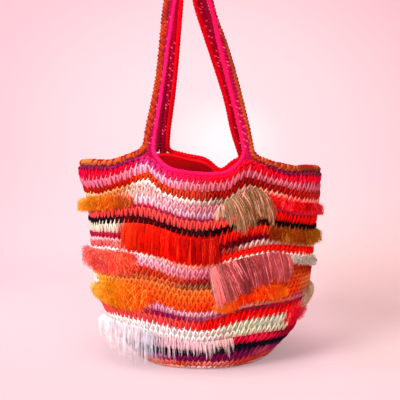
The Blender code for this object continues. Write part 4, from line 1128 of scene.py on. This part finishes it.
def furPaths(fur, rng, seed, bearing, top, bottom, along):
    # short fibres that spray out of the yarn, mostly downwards
    count = len(bearing)
    chance, _ = lockChance(seed, bearing, hair["furLock"])
    tall = top - bottom
    root = bottom + tall * (0.12 + 0.92 * rng.random(count) ** 0.8)
    angle = rng.normal(0.0, fur["mess"], count)
    length = tall * rng.uniform(0.30, 0.80, count)
    drop = np.cos(angle) * length
    upward = rng.random(count) < hair["upShare"]
    tip = np.where(upward, root + 0.3 * drop, np.maximum(root - drop, bottom - 0.0035 * rng.random(count) ** 2))
    side = np.sin(angle) * length * perMetre(bearing, root)
    level = root[:, None] + (tip - root)[:, None] * along
    sway = bearing[:, None] + side[:, None] * along
    flare = 1.0 + fur["ends"] * ease(np.abs(bearing), *hair["furFlare"])
    raised = (fur["out"] * flare * (0.15 + 0.95 * rng.random(count) ** 1.6))[:, None]
    outward = hair["furGap"] + raised * np.sin(along * math.pi * 0.60)
    if fur["kind"] == "mound":
        edges, high, low = np.array(fur["points"]).T
        middle, half = (high[0] + low[0]) / 2, (high[0] - low[0]) / 2
        across = (sway - edges.mean()) / (np.ptp(edges) / 2)
        dome = np.sqrt(np.maximum(0.0, 1.0 - across ** 2 - ((level - middle) / half) ** 2))
        outward = 0.002 + fur["out"] * dome + 0.0008 * rng.random(count)[:, None]
    tint = (0.5 + 0.16 * chance[:, 2] + 0.20 * rng.normal(0.0, 1.0, count)).clip(0.0, 1.0)
    return hangPoint(sway, heightAt(sway, level), level, outward), sway, tint


def makeFur(name, seed):
    fur = furs[name]
    rng = np.random.default_rng(seed)
    points = np.array(fur["points"], float)
    fringe = fur["kind"] == "fringe"
    steps, sides = hair["fringeSteps"] if fringe else hair["furSteps"], hair["sides"]
    bearing = rng.uniform(points[0, 0], points[-1, 0], fur["strands"])
    if "thin" in fur:
        keep = np.interp(bearing, *np.array(fur["thin"], float).T)
        bearing = bearing[rng.random(len(bearing)) < keep]
    count = len(bearing)
    if fur["kind"] == "fur":
        bearing = bearing + rng.normal(0.0, 0.8, count)
    top, bottom = (np.interp(bearing, points[:, 0], points[:, column]) for column in (1, 2))
    if not fringe:
        # a mound is round, and a fur band runs out softly at its far side
        across = (bearing - points[:, 0].mean()) / (np.ptp(points[:, 0]) / 2)
        if fur["kind"] == "mound":
            share = np.sqrt(np.maximum(0.04, 1.0 - across ** 2))
        else:
            share = 1.0 - 0.75 * ease(np.abs(bearing), *hair["sideFade"])
        middle, half = (top + bottom) / 2, (top - bottom) / 2 * share
        top, bottom = middle + half, middle - half
    along = np.linspace(0.0, 1.0, steps)[None]
    build = fringePaths if fringe else furPaths
    paths, sway, tint = build(fur, rng, seed, bearing, top, bottom, along)
    facing = np.stack((np.sin(np.radians(sway)), -np.cos(np.radians(sway)), np.full(sway.shape, 0.05)), -1)
    radii = hair["radius"] * np.interp(along[0], *hair["taper"])[None]
    item = makeObject(name + "_hair", *sweepStrands(paths, np.repeat(radii, count, axis=0), facing, sides), {
        "around": perVertex(bearing, steps, sides), "tint": perVertex(tint, steps, sides),
        "along": perVertex(np.repeat(along, count, axis=0), steps, sides)})
    material = hairMaterial(name, fur["shades"], fur["flecks"], fur.get("root", hair["root"]),
                            fur.get("spread", hair["spread"]))
    place(item, material, fur["slot"], name)


for number, name in enumerate(furs):
    makeFur(name, hair["seed"] + number)
print("fur bands and fringes done")


# studio: a seamless pale pink sweep, soft light from the upper left and the camera
studio = {
    "half": 9.0, "floorFront": -9.0, "bend": 1.3, "bendRadius": 0.8, "bendParts": 12, "wallTop": 3.2,
    # painted light: a glow on the paper, palest in its middle behind the bag; its shades run outward from there
    "paintedGlowShift": (-0.08, 0.0, -0.36), "paintedGlowScale": (1.35, 0.0, 1.8),
    "shades": ((0.0, (220, 211, 213)), (0.24, (219, 190, 195)), (1.0, (206, 168, 177))),  # outward from the spot
    "paintedLightSpan": (-3.0, 1.4),
    "paintedLightLevels": ((0.0, 0.98), (0.25, 0.86), (0.455, 0.70), (0.618, 0.755), (0.727, 0.92), (0.825, 0.93), (0.918, 0.80)),
    # painted shadow on the floor at the bag's right: where it lies, and how much it takes from each colour
    "paintedShadowEdges": (("X", 0.17, 0.26, 0.0, 1.0), ("Y", -0.15, 0.0, 0.0, 1.0), ("Y", 0.5, 1.0, 1.0, 0.0)),
    "paintedShadowChange": (-0.10, -0.08, -0.15),
    "clearFrom": (0.0, 0.6, 0.0), "clearReach": (1.12, 1.6),
    # painted light: the glowing plain pink that the camera sees near the bag, where it reaches and how much on each
    # side
    "paintedFillShade": (254, 219, 226), "paintedFillReach": (0.22, 0.55, 1.0, 0.0), "paintedFillSides": (-0.14, 0.18, 0.50, 0.20),
    "airShade": (255, 233, 224), "airStrength": 0.77, "beyondShade": (255, 214, 224),
    "lens": 99.9, "sensor": 36.0, "cameraPlace": (-0.0014, -1.6, 0.514), "pitch": 9.9,
}
lights = {      # place, aim, size, power and shade
    "key": ((-1.5, -1.7, 1.9), (0.0, 0.0, 0.2), 1.3, 96.0, (248, 250, 255)),
    "fill": ((0.6, -2.6, 1.3), (0.0, 0.0, 0.2), 1.8, 34.0, (255, 255, 255)),
    "backdrop_light": ((-0.2, -0.2, 2.4), (0.0, 1.2, 0.5), 1.2, 34.0, (255, 255, 255)),
}


def paperMaterial():
    material, tree, shader = newMaterial("sweep_paper", 0.95, 0.1)
    where = objectPlace(tree)
    axes = addNode(tree, "SeparateXYZ", {0: where}).outputs
    # painted light: the paper glows palest around the middle behind the bag
    spot = addNode(tree, "Mapping", {"Vector": where, "Location": studio["paintedGlowShift"], "Scale": studio["paintedGlowScale"]})
    reach = addNode(tree, "VectorMath", {0: spot.outputs[0]}, operation="LENGTH").outputs["Value"]
    paper = rampNode(tree, reach, [(share, linear(shade)) for share, shade in studio["shades"]])
    # painted light by depth: the paper's brightness changes front to back to even out how the lamps fall on it; the
    # far floor catches less light, so the paper is a little paler there
    tone = rampNode(tree, shareBetween(tree, axes["Y"], *studio["paintedLightSpan"], kind="LINEAR"),
                    [(share, (level, level, level, 1.0)) for share, level in studio["paintedLightLevels"]])
    # a painted shadow, warm in tone, lies on the floor at the bag's right
    paintedShadow = 1.0
    for axis, *edge in studio["paintedShadowEdges"]:
        paintedShadow = mathNode(tree, "MULTIPLY", paintedShadow, shareBetween(tree, axes[axis], *edge))
    paintedShadowFactor = vectorNode(tree, "MULTIPLY_ADD", paintedShadow, studio["paintedShadowChange"], (1.0, 1.0, 1.0))
    paper = vectorNode(tree, "MULTIPLY", vectorNode(tree, "MULTIPLY", paper, tone), paintedShadowFactor)
    feed(tree, shader, {"Base Color": paper})
    # painted light: near the bag the camera sees part of the paper as a glowing plain pink, which lightens the bag's
    # shadow on the floor, most on the bright left side
    camera = addNode(tree, "LightPath").outputs["Is Camera Ray"]
    away = addNode(tree, "VectorMath", {0: where}, operation="LENGTH").outputs["Value"]
    fill = mathNode(tree, "MULTIPLY", shareBetween(tree, away, *studio["paintedFillReach"]),
                    shareBetween(tree, axes["X"], *studio["paintedFillSides"]))
    plain = addNode(tree, "Emission", {"Color": linear(studio["paintedFillShade"]), "Strength": 1.0})
    withPaintedFill = mixShaders(tree, mathNode(tree, "MULTIPLY", fill, camera), shader.outputs[0], plain.outputs[0])
    # the camera sees through the paper's back and its far ends, so that the bag shows from every side
    far = addNode(tree, "VectorMath", {0: where, 1: studio["clearFrom"]}, operation="DISTANCE").outputs["Value"]
    seen = mathNode(tree, "MAXIMUM", addNode(tree, "NewGeometry").outputs["Backfacing"],
                    shareBetween(tree, far, *studio["clearReach"]))
    clear = addNode(tree, "BsdfTransparent").outputs[0]
    choice = mixShaders(tree, mathNode(tree, "MULTIPLY", seen, camera), withPaintedFill, clear)
    feed(tree, tree.nodes["Material Output"], {"Surface": choice})
    return material


def makeSweep():
    bend, radius, parts = studio["bend"], studio["bendRadius"], studio["bendParts"]
    profile = [(studio["floorFront"], 0.0), (bend - radius, 0.0)]
    for part in range(1, parts + 1):
        angle = math.pi / 2 * part / parts
        profile.append((bend - radius + radius * math.sin(angle), radius - radius * math.cos(angle)))
    profile.append((bend, studio["wallTop"]))
    verts = [(side * studio["half"], y, z) for y, z in profile for side in (-1, 1)]
    quads = [(index * 2, index * 2 + 1, index * 2 + 3, index * 2 + 2) for index in range(len(profile) - 1)]
    item = makeObject("sweep", verts, np.array(quads))
    item.data.materials.append(paperMaterial())


def addLight(name, where, target, size, power, shade):
    data = bpy.data.lights.new(name, "AREA")
    data.shape = "DISK"
    data.size = size
    data.energy = power
    data.color = linear(shade)[:3]
    item = addItem(name, data)
    item.location = where
    item.rotation_euler = (Vector(target) - Vector(where)).to_track_quat("-Z", "Y").to_euler()


def makeAir():
    # past the paper's edge the camera sees the same pale pink
    world = bpy.data.worlds.new("studio_air")
    world.use_nodes = True
    tree = world.node_tree
    air = tree.nodes["Background"]
    feed(tree, air, {"Color": linear(studio["airShade"]), "Strength": studio["airStrength"]})
    beyond = addNode(tree, "Background", {"Color": linear(studio["beyondShade"]), "Strength": 1.0})
    camera = addNode(tree, "LightPath").outputs["Is Camera Ray"]
    feed(tree, tree.nodes["World Output"], {"Surface": mixShaders(tree, camera, air.outputs[0], beyond.outputs[0])})
    bpy.context.scene.world = world


def makeCamera():
    camera = bpy.data.cameras.new("camera")
    camera.lens = studio["lens"]
    camera.sensor_width = studio["sensor"]
    item = addItem("camera", camera)
    item.location = studio["cameraPlace"]
    item.rotation_euler = (math.radians(90.0 - studio["pitch"]), 0.0, 0.0)
    bpy.context.scene.camera = item
    bpy.context.scene.view_settings.view_transform = "Standard"


makeSweep()
for name, settings in lights.items():
    addLight(name, *settings)
makeAir()
makeCamera()
print("studio done")
